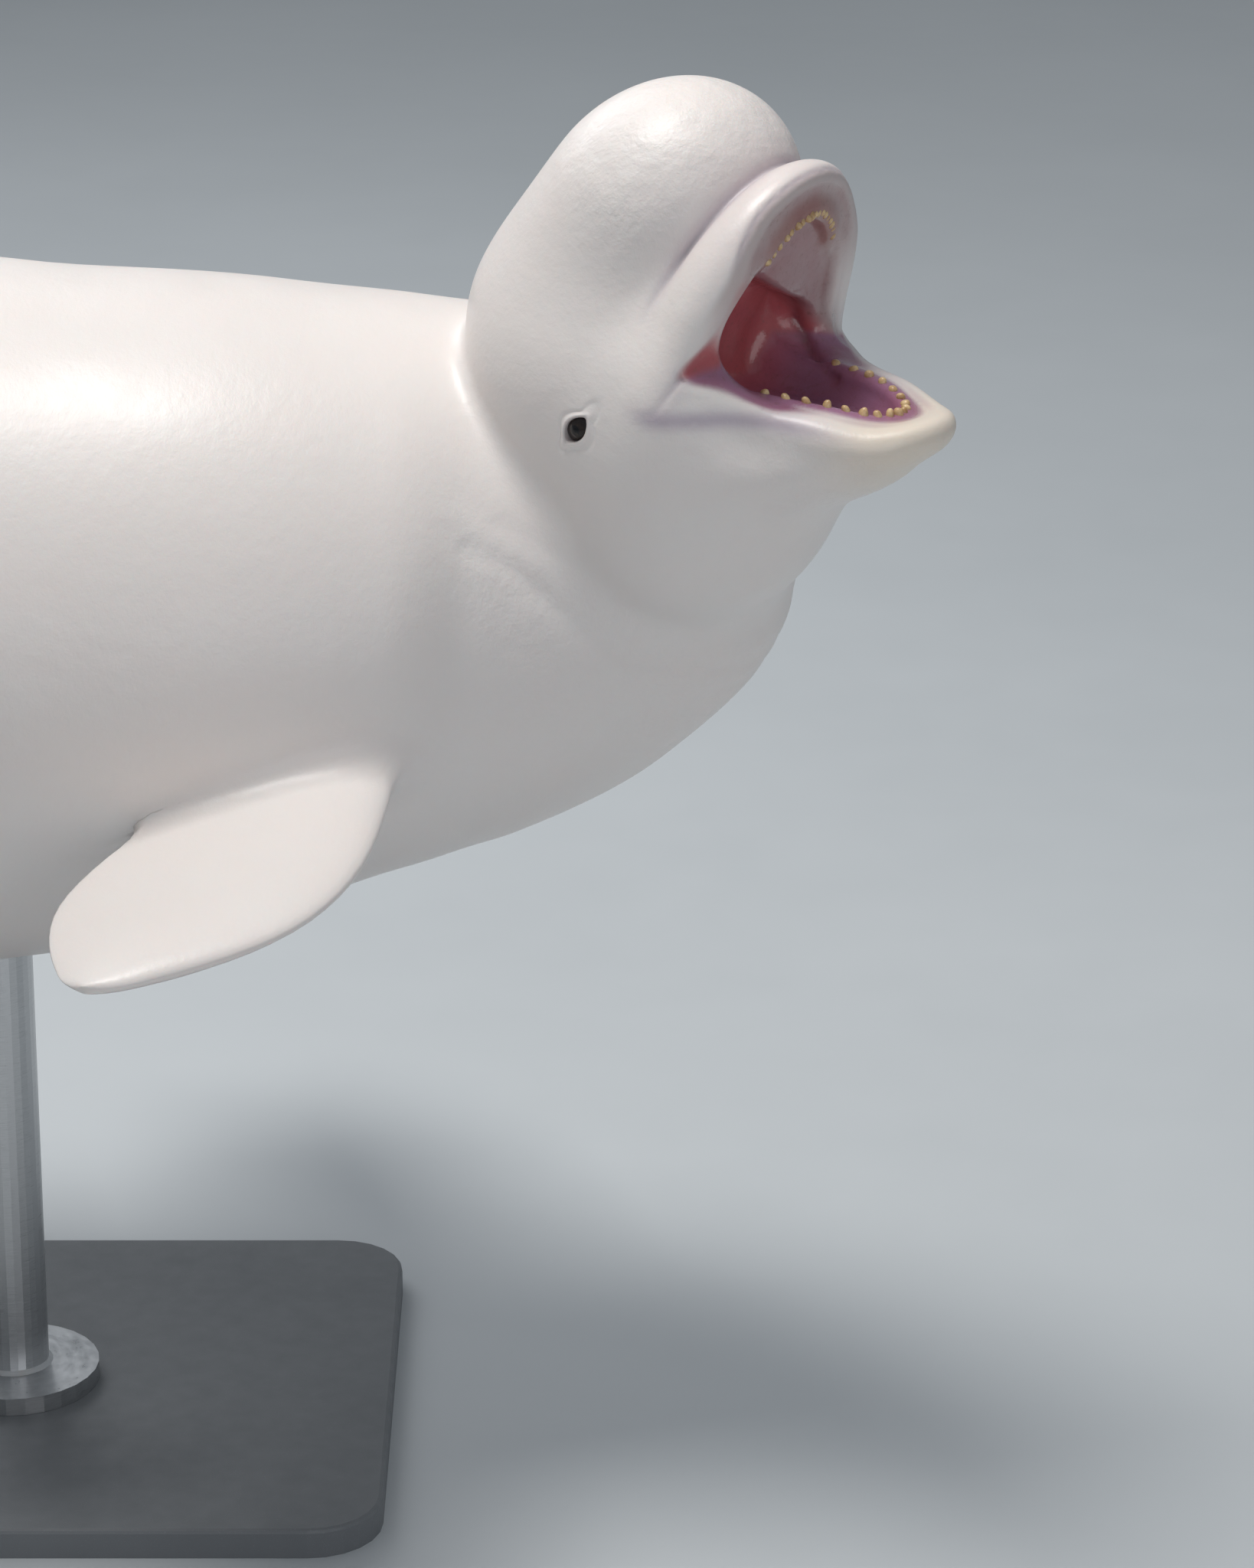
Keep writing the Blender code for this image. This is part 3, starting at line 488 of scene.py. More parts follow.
def settle(field, v, rounds=1, most=0.006):
    """Moves points onto the surface of the field."""
    for _ in range(rounds):
        g = gradient(field, v)
        s = (chunks(field, v) / np.maximum((g * g).sum(1), 0.15))[:, None] * g
        length = np.sqrt((s * s).sum(1, keepdims=True))
        v = v - s * np.minimum(1, most / np.maximum(length, 1e-9))
    return v


def split(verts, tris, marked):
    """Cuts the marked triangles in four, and their neighbours so that they fit."""
    pairs = np.sort(np.stack([tris[:, [0, 1]], tris[:, [1, 2]], tris[:, [2, 0]]], 1), axis=2)
    edges, edge_of = np.unique(pairs.reshape(-1, 2), axis=0, return_inverse=True)
    edge_of = edge_of.reshape(-1, 3)
    cut = np.zeros(len(edges), bool)
    while True:
        cut[edge_of[marked].ravel()] = True
        hit = cut[edge_of].sum(1) >= 2
        if not (hit & ~marked).any():
            break
        marked = marked | hit
    number = np.full(len(edges), -1)
    number[cut] = len(verts) + np.arange(cut.sum())
    verts = np.concatenate([verts, verts[edges[cut]].mean(1)])
    a, b, c = tris[marked].T
    ab, bc, ca = number[edge_of[marked]].T
    four = [np.stack(t, 1) for t in ((a, ab, ca), (ab, b, bc), (ca, bc, c), (ab, bc, ca))]
    rest, rest_edges = tris[~marked], edge_of[~marked]
    plain = ~cut[rest_edges].any(1)
    two = []
    for k in range(3):
        one = cut[rest_edges[:, k]]
        a, b, c = rest[one][:, k], rest[one][:, (k + 1) % 3], rest[one][:, (k + 2) % 3]
        m = number[rest_edges[one, k]]
        two += [np.stack((a, m, c), 1), np.stack((m, b, c), 1)]
    return verts, np.concatenate(four + [rest[plain]] + two)


def vertex_normals(verts, tris):
    a, b, c = verts[tris[:, 0]], verts[tris[:, 1]], verts[tris[:, 2]]
    face = np.cross(b - a, c - a)
    n = np.zeros_like(verts)
    for k in range(3):
        for axis in range(3):
            n[:, axis] += np.bincount(tris[:, k], face[:, axis], len(verts))
    return n / np.maximum(np.sqrt((n * n).sum(1, keepdims=True)), 1e-12)


def relax(verts, tris, rounds, amount, strength=0.5):
    """Evens out the triangles: each vertex slides along the surface towards its neighbours."""
    pairs = np.sort(np.concatenate([tris[:, [0, 1]], tris[:, [1, 2]], tris[:, [2, 0]]]), axis=1)
    pairs = np.unique(pairs, axis=0)
    both = np.concatenate([pairs, pairs[:, ::-1]])
    count = np.maximum(np.bincount(both[:, 0], minlength=len(verts)), 1)
    for _ in range(rounds):
        normal = vertex_normals(verts, tris)
        mean = np.stack([np.bincount(both[:, 0], verts[both[:, 1], a], len(verts)) for a in range(3)], 1)
        move = mean / count[:, None] - verts
        move -= normal * (move * normal).sum(1, keepdims=True)
        verts = verts + move * strength * amount[:, None]
    return verts


def object_from(name, verts, faces, smooth=True):
    mesh = bpy.data.meshes.new(name)
    mesh.from_pydata(np.asarray(verts).tolist(), [], [[int(k) for k in f] for f in faces])
    mesh.update()
    if smooth:
        mesh.shade_smooth()
    made = bpy.data.objects.new(name, mesh)
    bpy.context.scene.collection.objects.link(made)
    return made


def ring_faces(rows, count, closed_ends=True):
    """Faces over rows of rings with the same number of points."""
    faces = []
    for r in range(rows - 1):
        for i in range(count):
            a, b = r * count + i, r * count + (i + 1) % count
            faces.append((a, b, b + count, a + count))
    if closed_ends:
        faces.append(tuple(range(count))[::-1])
        faces.append(tuple(range((rows - 1) * count, rows * count)))
    return faces


def line_distance(points, places):
    """Distance from a line through places, and the share along it."""
    best, share = np.full(len(points), 9.0), np.zeros(len(points))
    for i, (a, b) in enumerate(zip(places, places[1:])):
        way = np.array(b) - np.array(a)
        t = np.clip((points - np.array(a)) @ way / (way @ way), 0, 1)
        far = np.sqrt(((points - np.array(a) - t[:, None] * way) ** 2).sum(1))
        share = np.where(far < best, (i + t) / (len(places) - 1), share)
        best = np.minimum(best, far)
    return best, share


def blowhole_distance(q):
    """Distance from the blowhole's slit, a crescent on top of the head that is open to the front."""
    turn = np.linspace(-1, 1, 11)
    slit = np.stack([BLOWHOLE_X + 0.004 - 0.016 * np.cos(1.3 * turn), 0.032 * np.sin(turn * pi / 2)], 1)
    far, _ = line_distance(q[:, :2], slit)
    return np.where(q[:, 2] > 0.1, far, 9.0)


# Fins
def fin_section(chord, thick, count=19):
    """Points round a rounded aerofoil, x from 0 at the leading edge to -chord."""
    s = (1 - np.cos(np.linspace(0, pi, count))) / 2
    half = thick * (1.25 * np.sqrt(s) * (1 - s) + 0.35 * s * (1 - s)) + 0.05 * thick * np.sin(pi * s) + 1e-4
    half = half + 0.0022 * np.sqrt(np.clip(4 * s * (1 - s), 0, 1))
    upper = [(-chord * a, b) for a, b in zip(s, half)]
    lower = [(-chord * a, -b) for a, b in zip(s[-2:0:-1], half[-2:0:-1])]
    return upper + lower


def fluke_edges(t):
    """Leading and trailing edge at a share of the half span."""
    lead = -1.965 - 0.215 * t**1.5 - 0.085 * t**6
    lobe = np.sin(pi * min(1.0, t * 0.97) ** 0.72) ** 0.9 * (1 - 0.25 * t)
    trail = TAIL_END - 0.006 - 0.115 * lobe - 0.075 * t**2
    return lead, trail


def fluke_pair():
    """Rings of both flukes, from tip to tip."""
    ts = np.sin(np.linspace(0, pi / 2, 30))
    ts = np.concatenate([-ts[:0:-1], ts])
    rings = []
    for t in ts:
        a = abs(t)
        lead, trail = fluke_edges(a)
        chord = max(lead - trail, 0.012)
        thick = 0.013 + 0.115 * chord * (1 - 0.35 * a)
        thick = thick * (1 if a < 0.9 else (1.02 - a) / 0.12 * 0.8 + 0.2)
        z = AXIS_Z - 0.092 + 0.030 * a**2
        rings.append([(lead + x, t * FLUKE_HALF_SPAN, z + h) for x, h in fin_section(chord, thick)])
    return rings


def flipper_rings(side):
    """Rings of a flipper from root to tip, -1 for the right side and 1 for the left."""
    along = np.array([FLIPPER_DIRECTION[0], side * FLIPPER_DIRECTION[1], FLIPPER_DIRECTION[2]])
    along = along / np.linalg.norm(along)
    fore = np.array([1.0, 0.0, 0.10])
    fore = fore - along * (fore @ along)
    fore = fore / np.linalg.norm(fore)
    flat = np.cross(fore, along) * side
    root = np.array([FLIPPER_ROOT[0], side * FLIPPER_ROOT[1], FLIPPER_ROOT[2] + AXIS_Z])
    rings = []
    for t in np.sin(np.linspace(0, pi / 2, 26)):
        wide = 0.74 + 0.52 * sin(pi * min(t, 0.94) ** 1.15) ** 1.2
        wide = wide * (1 if t < 0.62 else (1 - ((t - 0.62) / 0.3805) ** 2.4) ** 0.55)
        chord = FLIPPER_CHORD * max(wide, 0.04)
        thick = 0.040 * (1 - 0.62 * t) * (1 - 0.25 * step(0.8, 1.0, t)) + 0.003
        thick = thick * (1 if t < 0.88 else (1 - ((t - 0.88) / 0.122) ** 2) ** 0.5)
        lead = 0.5 * chord - 0.055 * t**1.6
        centre = root + along * (t * FLIPPER_LENGTH) + flat * 0.030 * t**2.2
        rings.append([centre + fore * (lead + x) + flat * h for x, h in fin_section(chord, thick)])
    return rings


def loft(name, rings):
    made = object_from(name, np.array(rings).reshape(-1, 3), ring_faces(len(rings), len(rings[0])))
    bm = bmesh.new()
    bm.from_mesh(made.data)
    bmesh.ops.recalc_face_normals(bm, faces=bm.faces)
    bmesh.ops.triangulate(bm, faces=bm.faces)
    if bm.calc_volume(signed=True) < 0:
        bmesh.ops.reverse_faces(bm, faces=bm.faces)
    bm.to_mesh(made.data)
    bm.free()
    return made


def arrays(thing):
    mesh = thing.data
    verts = np.empty(len(mesh.vertices) * 3)
    mesh.vertices.foreach_get("co", verts)
    tris = np.array([p.vertices[:] for p in mesh.polygons])
    return verts.reshape(-1, 3), tris


def signed(tree, points):
    """Signed distance from a closed mesh."""
    out = np.empty(len(points))
    for i, p in enumerate(points):
        place, normal, _, far = tree.find_nearest(Vector(p))
        out[i] = far if (Vector(p) - place).dot(normal) >= 0 else -far
    return out


# Places on the head
def on_head(q, depth=0.0):
    """Point of the skin beneath or above a place in the head's frame, and the way out there."""
    p = from_head(np.atleast_2d(q))
    p = settle(hull, p, 8, 0.05)
    n = gradient(hull, p)
    n = n / np.sqrt((n * n).sum(1, keepdims=True))
    return p - n * depth, n


def eye_frame(side):
    skin, out = on_head((EYE[0], side * EYE[1], EYE[2]))
    skin, out = skin[0], out[0]
    along = HEAD_TURN[:, 0] - out * (HEAD_TURN[:, 0] @ out)
    along = along / np.linalg.norm(along)
    return skin, out, along, np.cross(out, along)


# The skin's mesh: a grid that is finer round the head
HEAD_START = 0.80
xs = np.concatenate([np.arange(-2.26, HEAD_START, 0.030), np.arange(HEAD_START, 1.44, 0.0125)])
ys = np.concatenate([np.arange(-0.42, 0.18, 0.012), np.arange(0.18, 0.42, 0.02)])
zs = np.concatenate([np.arange(0.40, 0.74, 0.02), np.arange(0.74, 1.46, 0.012)])
skin_verts, skin_tris = surface_net(sample(flesh, xs, ys, zs), xs, ys, zs)
skin_verts = settle(flesh, skin_verts, 2)
skin = object_from("skin", skin_verts, skin_tris)
fins = [loft("flukes", fluke_pair())]
fins += [loft("flipper_right", flipper_rings(-1)), loft("flipper_left", flipper_rings(1))]
fin_trees = []
for fin in fins:
    v, t = arrays(fin)
    fin_trees.append(BVHTree.FromPolygons(v.tolist(), t.tolist()))
    union = skin.modifiers.new("fin", "BOOLEAN")
    union.operation = "UNION"
    union.solver = "MANIFOLD"
    union.object = fin
bpy.context.view_layer.update()
joined = bpy.data.meshes.new_from_object(skin.evaluated_get(bpy.context.evaluated_depsgraph_get()))
bpy.data.objects.remove(skin)
for fin in fins:
    bpy.data.objects.remove(fin)
bm = bmesh.new()
bm.from_mesh(joined)
bmesh.ops.triangulate(bm, faces=bm.faces)
bm.to_mesh(joined)
bm.free()
holder = bpy.data.objects.new("holder", joined)
verts, tris = arrays(holder)
bpy.data.objects.remove(holder)


def fin_distance(p):
    """Distance from the nearest fin, exact only near one."""
    out = np.full(len(p), 0.5)
    aft = p[:, 0] < -1.75
    boxes = (aft, ~aft & (p[:, 1] < 0), ~aft & (p[:, 1] >= 0))
    for tree, box in zip(fin_trees, boxes):
        out[box] = signed(tree, p[box])
    return out


def joined_field(p):
    return blend(flesh(p), fin_distance(p), FIN_FILLET)


def near_roots(v):
    """True close to the places where the fins grow out of the body."""
    band = (v[:, 0] > FLIPPERS_FROM) & (v[:, 0] < FLIPPERS_TO) & (v[:, 2] < 0.95)
    band |= v[:, 0] < FLUKES_FROM
    near = np.zeros(len(v), bool)
    some = np.where(band)[0]
    body_far = np.abs(hull(v[some]))
    some = some[body_far < 0.055]
    fin_far = np.abs(fin_distance(v[some]))
    near[some[fin_far < 0.055]] = True
    return near


def head_zone(v):
    """Head and neck."""
    return (to_head(v)[:, 0] > -0.125) & (v[:, 0] > HEAD_START)


def fine_zone(v):
    """Mouth, lips, jaw, eyes, blowhole."""
    q = to_head(v)
    j = to_jaw(q)
    mouth = (q[:, 0] > 0.10) & (np.abs(opening(q)) < 0.019)
    lips = (q[:, 0] > 0.20) & (q[:, 2] < 0.10)
    jaw = (j[:, 0] > 0.10) & (j[:, 2] > -0.05) & (j[:, 2] < 0.06) & (q[:, 2] < 0)
    hole = ((q[:, 0] - BLOWHOLE_X) ** 2 + q[:, 1] ** 2 < 0.05**2) & (q[:, 2] > 0.1)
    return mouth | lips | jaw | eye_zone(v, 0.045) | hole


def eye_zone(v, reach):
    """Within reach of an eye's middle."""
    q = to_head(v)
    near = np.zeros(len(v), bool)
    for side in (-1, 1):
        near |= ((q - np.array([EYE[0], side * EYE[1], EYE[2]])) ** 2).sum(1) < reach**2
    return near


def crease_zone(v):
    """Groove behind the upper lip, corners of the mouth, blowhole."""
    q = to_head(v)
    groove = (np.abs(melon_groove(q)) < 0.009) & (np.abs(hull(v)) < 0.008)
    groove &= (q[:, 0] > 0.16) & (q[:, 2] > -0.02)
    corner = np.zeros(len(v), bool)
    for side in (-1, 1):
        corner |= ((q - np.array([0.175, side * 0.140, -0.047])) ** 2).sum(1) < 0.028**2
    return groove | corner | (blowhole_distance(q) < 0.013)


# Finer triangles where they are needed, each level half the size of the one before
for level in range(4):
    centre = verts[tris].mean(1)
    if level == 0:
        mark = head_zone(centre) | near_roots(centre)
    elif level == 1:
        mark = fine_zone(centre)
    elif level == 2:
        mark = eye_zone(centre, 0.034) | crease_zone(centre)
    else:
        mark = eye_zone(centre, 0.022)
    verts, tris = split(verts, tris, mark)
    seam = near_roots(verts) if level < 2 else np.zeros(len(verts), bool)
    on_fin = (verts[:, 0] < FLUKES_FROM) | ((np.abs(verts[:, 1]) > 0.2) & (verts[:, 0] < FLIPPERS_TO))
    on_fin &= ~seam & (np.abs(hull(verts)) > 0.03)
    loose = (~on_fin).astype(float)
    if level < 2:
        verts = relax(verts, tris, 4, loose)
    else:
        verts = relax(verts, tris, 2, loose * (eye_zone(verts, 0.05) | crease_zone(verts)))
    rest = ~on_fin & ~seam
    verts[rest] = settle(flesh, verts[rest], 1)
    if seam.any():
        verts[seam] = settle(joined_field, verts[seam], 2)

# Smoother roots of the fins
roots = near_roots(verts)
for _ in range(2):
    verts = relax(verts, tris, 4, roots.astype(float))
    verts[roots] = settle(joined_field, verts[roots], 1)
verts = relax(verts, tris, 3, roots.astype(float))

# Marks of the skin, as shares from 0 to 1 at each vertex
normals = vertex_normals(verts, tris)
q = to_head(verts)
j = to_jaw(q)
depth = -hull(verts)
palate_side, floor_side = opening_sides(q)
upper_side = step(-0.008, 0.008, palate_side - floor_side)
in_head = (q[:, 0] > 0.02) & (depth > -0.004)
upper_ridge = 1 - step(0.000, 0.010, gum(q, UPPER_GUM, upper_line))
lower_ridge = 1 - step(0.000, 0.010, gum(j, LOWER_GUM, lower_line))
past_rim = depth - opening(q)
head_normals = normals @ HEAD_TURN
jaw_normals = head_normals @ JAW_TURN
above_line = q[:, 2] - upper_line(q[:, 0])
above_lip = j[:, 2] - lower_line(j[:, 0])
at_corner = step(0.235, 0.185, q[:, 0]) * step(0.02, 0.06, -q[:, 1])
rim_start = 0.008 - 0.006 * step(0.24, 0.30, q[:, 0]) - 0.016 * at_corner
lining = upper_side * step(0, 0.008, past_rim - rim_start)
lining = lining + (1 - upper_side) * step(0, 0.006, past_rim - 0.003 + 0.008 * at_corner)
upper_share = ring_share(q[:, 0], q[:, 1], UPPER_LIP, 0.004)
lower_share = ring_share(j[:, 0], j[:, 1], LOWER_LIP, 0.004)
roof = step(0.985, 0.89, upper_share) * step(0.25, -0.15, head_normals[:, 2])
roof = roof * (np.abs(above_line) < 0.05) * (q[:, 0] > 0.05)
ground = step(0.995, 0.90, lower_share) * step(-0.25, 0.15, jaw_normals[:, 2])
ground = ground * (np.abs(above_lip + 0.015) < 0.045) * (j[:, 0] > 0.03)
for part in (upper_ridge, lower_ridge, roof, ground):
    lining = np.maximum(lining, part)
lining = lining * in_head

# Lids: how far the skin moves out, and how dark it gets
move = np.zeros(len(verts))
lid_shade = np.zeros(len(verts))
eye_frames = {side: eye_frame(side) for side in (-1, 1)}
for side, (place, out, along, up) in eye_frames.items():
    r = verts - place
    a, b, h = r @ along, r @ up, r @ out
    close = (a * a + b * b < 0.05**2) & (np.abs(h) < 0.03)
    taper = 1 - 0.30 * np.minimum((a / LID_OPENING[0]) ** 2, 1.5)
    k = np.sqrt((a / LID_OPENING[0]) ** 2 + (b / (LID_OPENING[1] * 1.10 * taper)) ** 2)
    pocket = -0.011 * (1 - step(0.90, 1.12, k))
    above = step(-0.004, 0.006, b - 0.3 * a)
    rim = 0.0012 * bell(k - 1.34, 0.24)
    fold = -0.0010 * bell(k - 1.95, 0.24) * above
    bag = -0.0006 * bell(k - 2.3, 0.35) * (1 - above)
    move += np.where(close, pocket + rim + fold + bag, 0)
    lid_shade = np.maximum(lid_shade, np.where(close, 1 - step(0.95, 1.45, k), 0))


# Creases: in the cheeks, behind the mouth's corners, under and behind the upper lip, blowhole, neck
side_q = q.copy()
side_q[:, 1] = np.abs(q[:, 1])
side_q[:, 2] -= np.where(q[:, 1] < 0, CREASE_RISE, 0.0) * (q[:, 0] > 0.12)
corner_far, corner_t = line_distance(side_q, [CORNER_FROM, CORNER_TO])
fold_far, _ = line_distance(side_q, CHEEK_FOLD)
fold_line = bell(fold_far, 0.0055) * lining
move -= FOLD_DEPTH * fold_line
corner_line = bell(corner_far, 0.0040) * (1 - 0.75 * corner_t)
corner_shade_halo = bell(corner_far, 0.012) * (1 - 0.6 * corner_t)
move -= CORNER_DEPTH * corner_line * (lining < 0.5)
shelf_top = 0.004 + 0.014 * step(0.27, 0.33, q[:, 0])
at_shelf = bell(above_line - shelf_top, 0.0025) * step(0.27, 0.31, q[:, 0])
move -= SHELF_DEPTH * at_shelf * (depth < 0.005) * (q[:, 2] > -0.02)
from_groove = melon_groove(q)
groove_side = (q[:, 2] > -0.02) * (depth < 0.006)
move -= GROOVE_DEPTH * bell(from_groove, 0.0045) * step(0.17, 0.24, q[:, 0]) * groove_side
from_hole = blowhole_distance(q)
move += 0.0018 * bell(from_hole - 0.010, 0.0055) - BLOWHOLE_DEPTH * bell(from_hole, 0.0038)
around = np.arctan2(q[:, 2], q[:, 1])
at_neck = step(0.245, 0.205, np.hypot(q[:, 1], q[:, 2] + 0.02)) * (verts[:, 0] > HEAD_START)
for at, deep, phase in NECK_FOLDS:
    line = at + 0.010 * np.sin(2.0 * around + phase) + 0.004 * np.sin(5.0 * around + 2.0 * phase)
    share = 0.55 + 0.45 * np.sin(1.5 * around + 3.0 * phase)
    move -= deep * share * bell(q[:, 0] - line, 0.0085) * (depth < 0.01) * at_neck
verts = verts + normals * move[:, None]

# Crumpled skin: front of the melon, neck, under the tip of the jaw
crumple = step(0.17, 0.25, q[:, 0]) * step(0.055, 0.09, q[:, 2]) * step(0.24, 0.20, q[:, 2])
crumple = np.maximum(crumple, 0.8 * step(-0.02, -0.07, q[:, 0]) * step(-0.24, -0.14, q[:, 0]) * at_neck)
crumple = np.maximum(crumple, 0.7 * step(0.10, 0.16, j[:, 0]) * step(-0.010, -0.025, above_lip))
crumple = crumple * (1 - lining)

# Colours of the skin, linear
WHITE = np.array([0.80, 0.755, 0.725])
PINKISH = np.array([0.70, 0.60, 0.595])
# lavender of the painted shade in the skin's creases, grooves and hollows
LAVENDER_SHADE = np.array([0.36, 0.30, 0.385])
CREAM = np.array([0.78, 0.68, 0.545])
PALATE = np.array([0.43, 0.275, 0.28])
SHELF = np.array([0.50, 0.415, 0.40])
RED = np.array([0.56, 0.125, 0.135])
MAUVE = np.array([0.33, 0.165, 0.275])
GUM_BROWN = np.array([0.36, 0.20, 0.17])
FOLD_SHADE = np.array([0.15, 0.035, 0.05])
HOLLOW_SHADE = np.array([0.10, 0.07, 0.08])


def mix(a, b, t):
    return a + (b - a) * t[:, None]


colour = np.tile(WHITE, (len(verts), 1))
on_upper = above_line > -0.012
on_jaw = above_lip < 0.010
colour = mix(colour, PINKISH, 0.45 * step(0.20, 0.34, q[:, 0]) * step(0.14, 0.05, q[:, 2]) * on_upper)
under_lip = step(0.003, -0.002, above_line - shelf_top) * step(0.22, 0.28, q[:, 0]) * on_upper
colour = mix(colour, SHELF, 0.85 * under_lip * (1 - lining))
# painted shade along the top of the shelf, under the overhang of the lip's outer band
shelf_shade_line = bell(above_line - shelf_top, 0.003) * step(0.27, 0.31, q[:, 0]) * on_upper
colour = mix(colour, LAVENDER_SHADE, 0.45 * shelf_shade_line * (1 - lining))
colour = mix(colour, CREAM, 0.75 * step(0.16, 0.24, j[:, 0]) * on_jaw)
# painted shade in a band under the rim of the lower lip
band = bell(above_lip + 0.010, 0.009) * step(0.03, 0.07, j[:, 0]) * step(0.235, 0.15, j[:, 0])
colour = mix(colour, LAVENDER_SHADE, 0.80 * band * on_jaw * (1 - lining))
# painted shade in the crease behind each corner of the mouth, with a wider soft shade round it
colour = mix(colour, LAVENDER_SHADE, np.maximum(0.9 * corner_line, 0.35 * corner_shade_halo) * (1 - lining))
# painted shade in the groove between melon and upper lip
groove = bell(from_groove, 0.009) * step(0.17, 0.25, q[:, 0]) * groove_side
colour = mix(colour, LAVENDER_SHADE, 0.55 * groove)
# painted shade round the blowhole, and darker painted shade down in its slit
colour = mix(colour, LAVENDER_SHADE, 0.35 * bell(from_hole, 0.011))
colour = mix(colour, HOLLOW_SHADE, 0.90 * bell(from_hole, 0.0034))

# Colours of the open mouth
throat = behind_palate(q[:, 0], q[:, 1])
roof_colour = mix(np.tile(PALATE, (len(verts), 1)), RED, throat)
near_rim = step(0.78, 0.94, upper_share) * (1 - throat)
roof_colour = mix(roof_colour, SHELF, 0.8 * near_rim)
ground_colour = mix(np.tile(MAUVE, (len(verts), 1)), RED, step(0.10, 0.03, j[:, 0]) * 0.8)
inside = mix(ground_colour, roof_colour, upper_side)
# painted shade: a dark line along the fold in the mouth, and shade in the roof at the near corner
inside = mix(inside, FOLD_SHADE, 0.75 * fold_line)
inside = mix(inside, FOLD_SHADE, 0.30 * at_corner * upper_side * (depth < 0.02))
inside = mix(inside, GUM_BROWN, 0.8 * upper_ridge)
inside = mix(inside, MAUVE, 0.5 * lower_ridge)
colour = mix(colour, inside, lining)
colour = mix(colour, HOLLOW_SHADE, 0.75 * lid_shade)

skin = object_from("skin", verts, tris)
tint = skin.data.attributes.new("tint", "FLOAT_COLOR", "POINT")
opaque = np.concatenate([colour, np.ones((len(verts), 1))], 1)
tint.data.foreach_set("color", opaque.astype(np.float32).ravel())
for name, share in (("wet", lining), ("crumple", crumple)):
    mark = skin.data.attributes.new(name, "FLOAT", "POINT")
    mark.data.foreach_set("value", share.astype(np.float32))


# Teeth
# Height and radius of each ring of a tooth, as shares of the tooth's own
TOOTH_RINGS = ((-0.6, 1.00), (0.0, 1.04), (0.35, 0.98), (0.65, 0.86), (0.85, 0.66), (0.96, 0.40), (1.0, 0.12))


def u_curve(spec, line, t):
    """Place on top of a gum's ridge, t from -1 to 1 along it."""
    angle = t * spec[5]
    x, y = spec[0] + spec[1] * cos(angle), spec[2] * sin(angle)
    return np.array([x, y, float(line(np.array([x]))[0]) + spec[4]])


def teeth(name, spec, row, line, way, sunk, place):
    """A row of short worn pegs, each leaning a little its own way."""
    sides = 12
    all_verts, all_faces = [], []
    rng = np.random.default_rng(7)
    for side in (-1, 1):
        for i in range(TEETH_EACH_SIDE):
            t = side * (row[0] + (row[1] - row[0]) * i / (TEETH_EACH_SIDE - 1))
            p = u_curve(spec, line, t)
            tall = TOOTH_HEIGHT * (0.62 + 0.30 * rng.random()) * (1 if side < 0 else LEFT_WEAR)
            wide = TOOTH_RADIUS * (0.85 + 0.25 * rng.random())
            lean = rng.uniform(-0.22, 0.22, 2)
            worn = rng.uniform(-0.25, 0.25)
            start = len(all_verts)
            for h, r in TOOTH_RINGS:
                up = way * (spec[3] * sunk + tall * h)
                for a in np.linspace(0, 2 * pi, sides, endpoint=False):
                    x, y = wide * r * cos(a) * 1.12, wide * r * sin(a) * 0.92
                    free = tall * max(h, 0)
                    slope = way * worn * x * max(0, h)
                    all_verts.append(p + np.array([x + lean[0] * free, y + lean[1] * free, up + slope]))
            all_faces += [tuple(start + k for k in f) for f in ring_faces(len(TOOTH_RINGS), sides)]
    made = object_from(name, place(np.array(all_verts)), all_faces)
    bm = bmesh.new()
    bm.from_mesh(made.data)
    bmesh.ops.recalc_face_normals(bm, faces=bm.faces)
    bm.to_mesh(made.data)
    bm.free()
    return made


def jaw_to_world(j):
    return from_head(from_jaw(j))


upper_teeth = teeth("upper_teeth", UPPER_GUM, UPPER_TEETH, upper_line, -1, 0.72, from_head)
lower_teeth = teeth("lower_teeth", LOWER_GUM, LOWER_TEETH, lower_line, 1, 1.05, jaw_to_world)

# Eyeballs
eyes = {}
for side, name in ((-1, "eyeball_R"), (1, "eyeball_L")):
    place, out, along, up = eye_frames[side]
    bm = bmesh.new()
    bmesh.ops.create_uvsphere(bm, u_segments=48, v_segments=32, radius=EYE_RADIUS)
    for v in bm.verts:
        far = np.hypot(v.co.x, v.co.y) / EYE_RADIUS
        if v.co.z > 0:
            v.co.z += 0.0012 * (1 - min(far / 0.45, 1) ** 2) if far < 0.45 else 0
    mesh = bpy.data.meshes.new(name)
    bm.to_mesh(mesh)
    bm.free()
    mesh.shade_smooth()
    ball = bpy.data.objects.new(name, mesh)
    bpy.context.scene.collection.objects.link(ball)
    turn = Matrix([list(row) + [0] for row in np.stack([along, up, out], 1)] + [[0, 0, 0, 1]])
    ball.matrix_world = Matrix.Translation(Vector(place - out * EYE_SUNK)) @ turn
    eyes[side] = ball


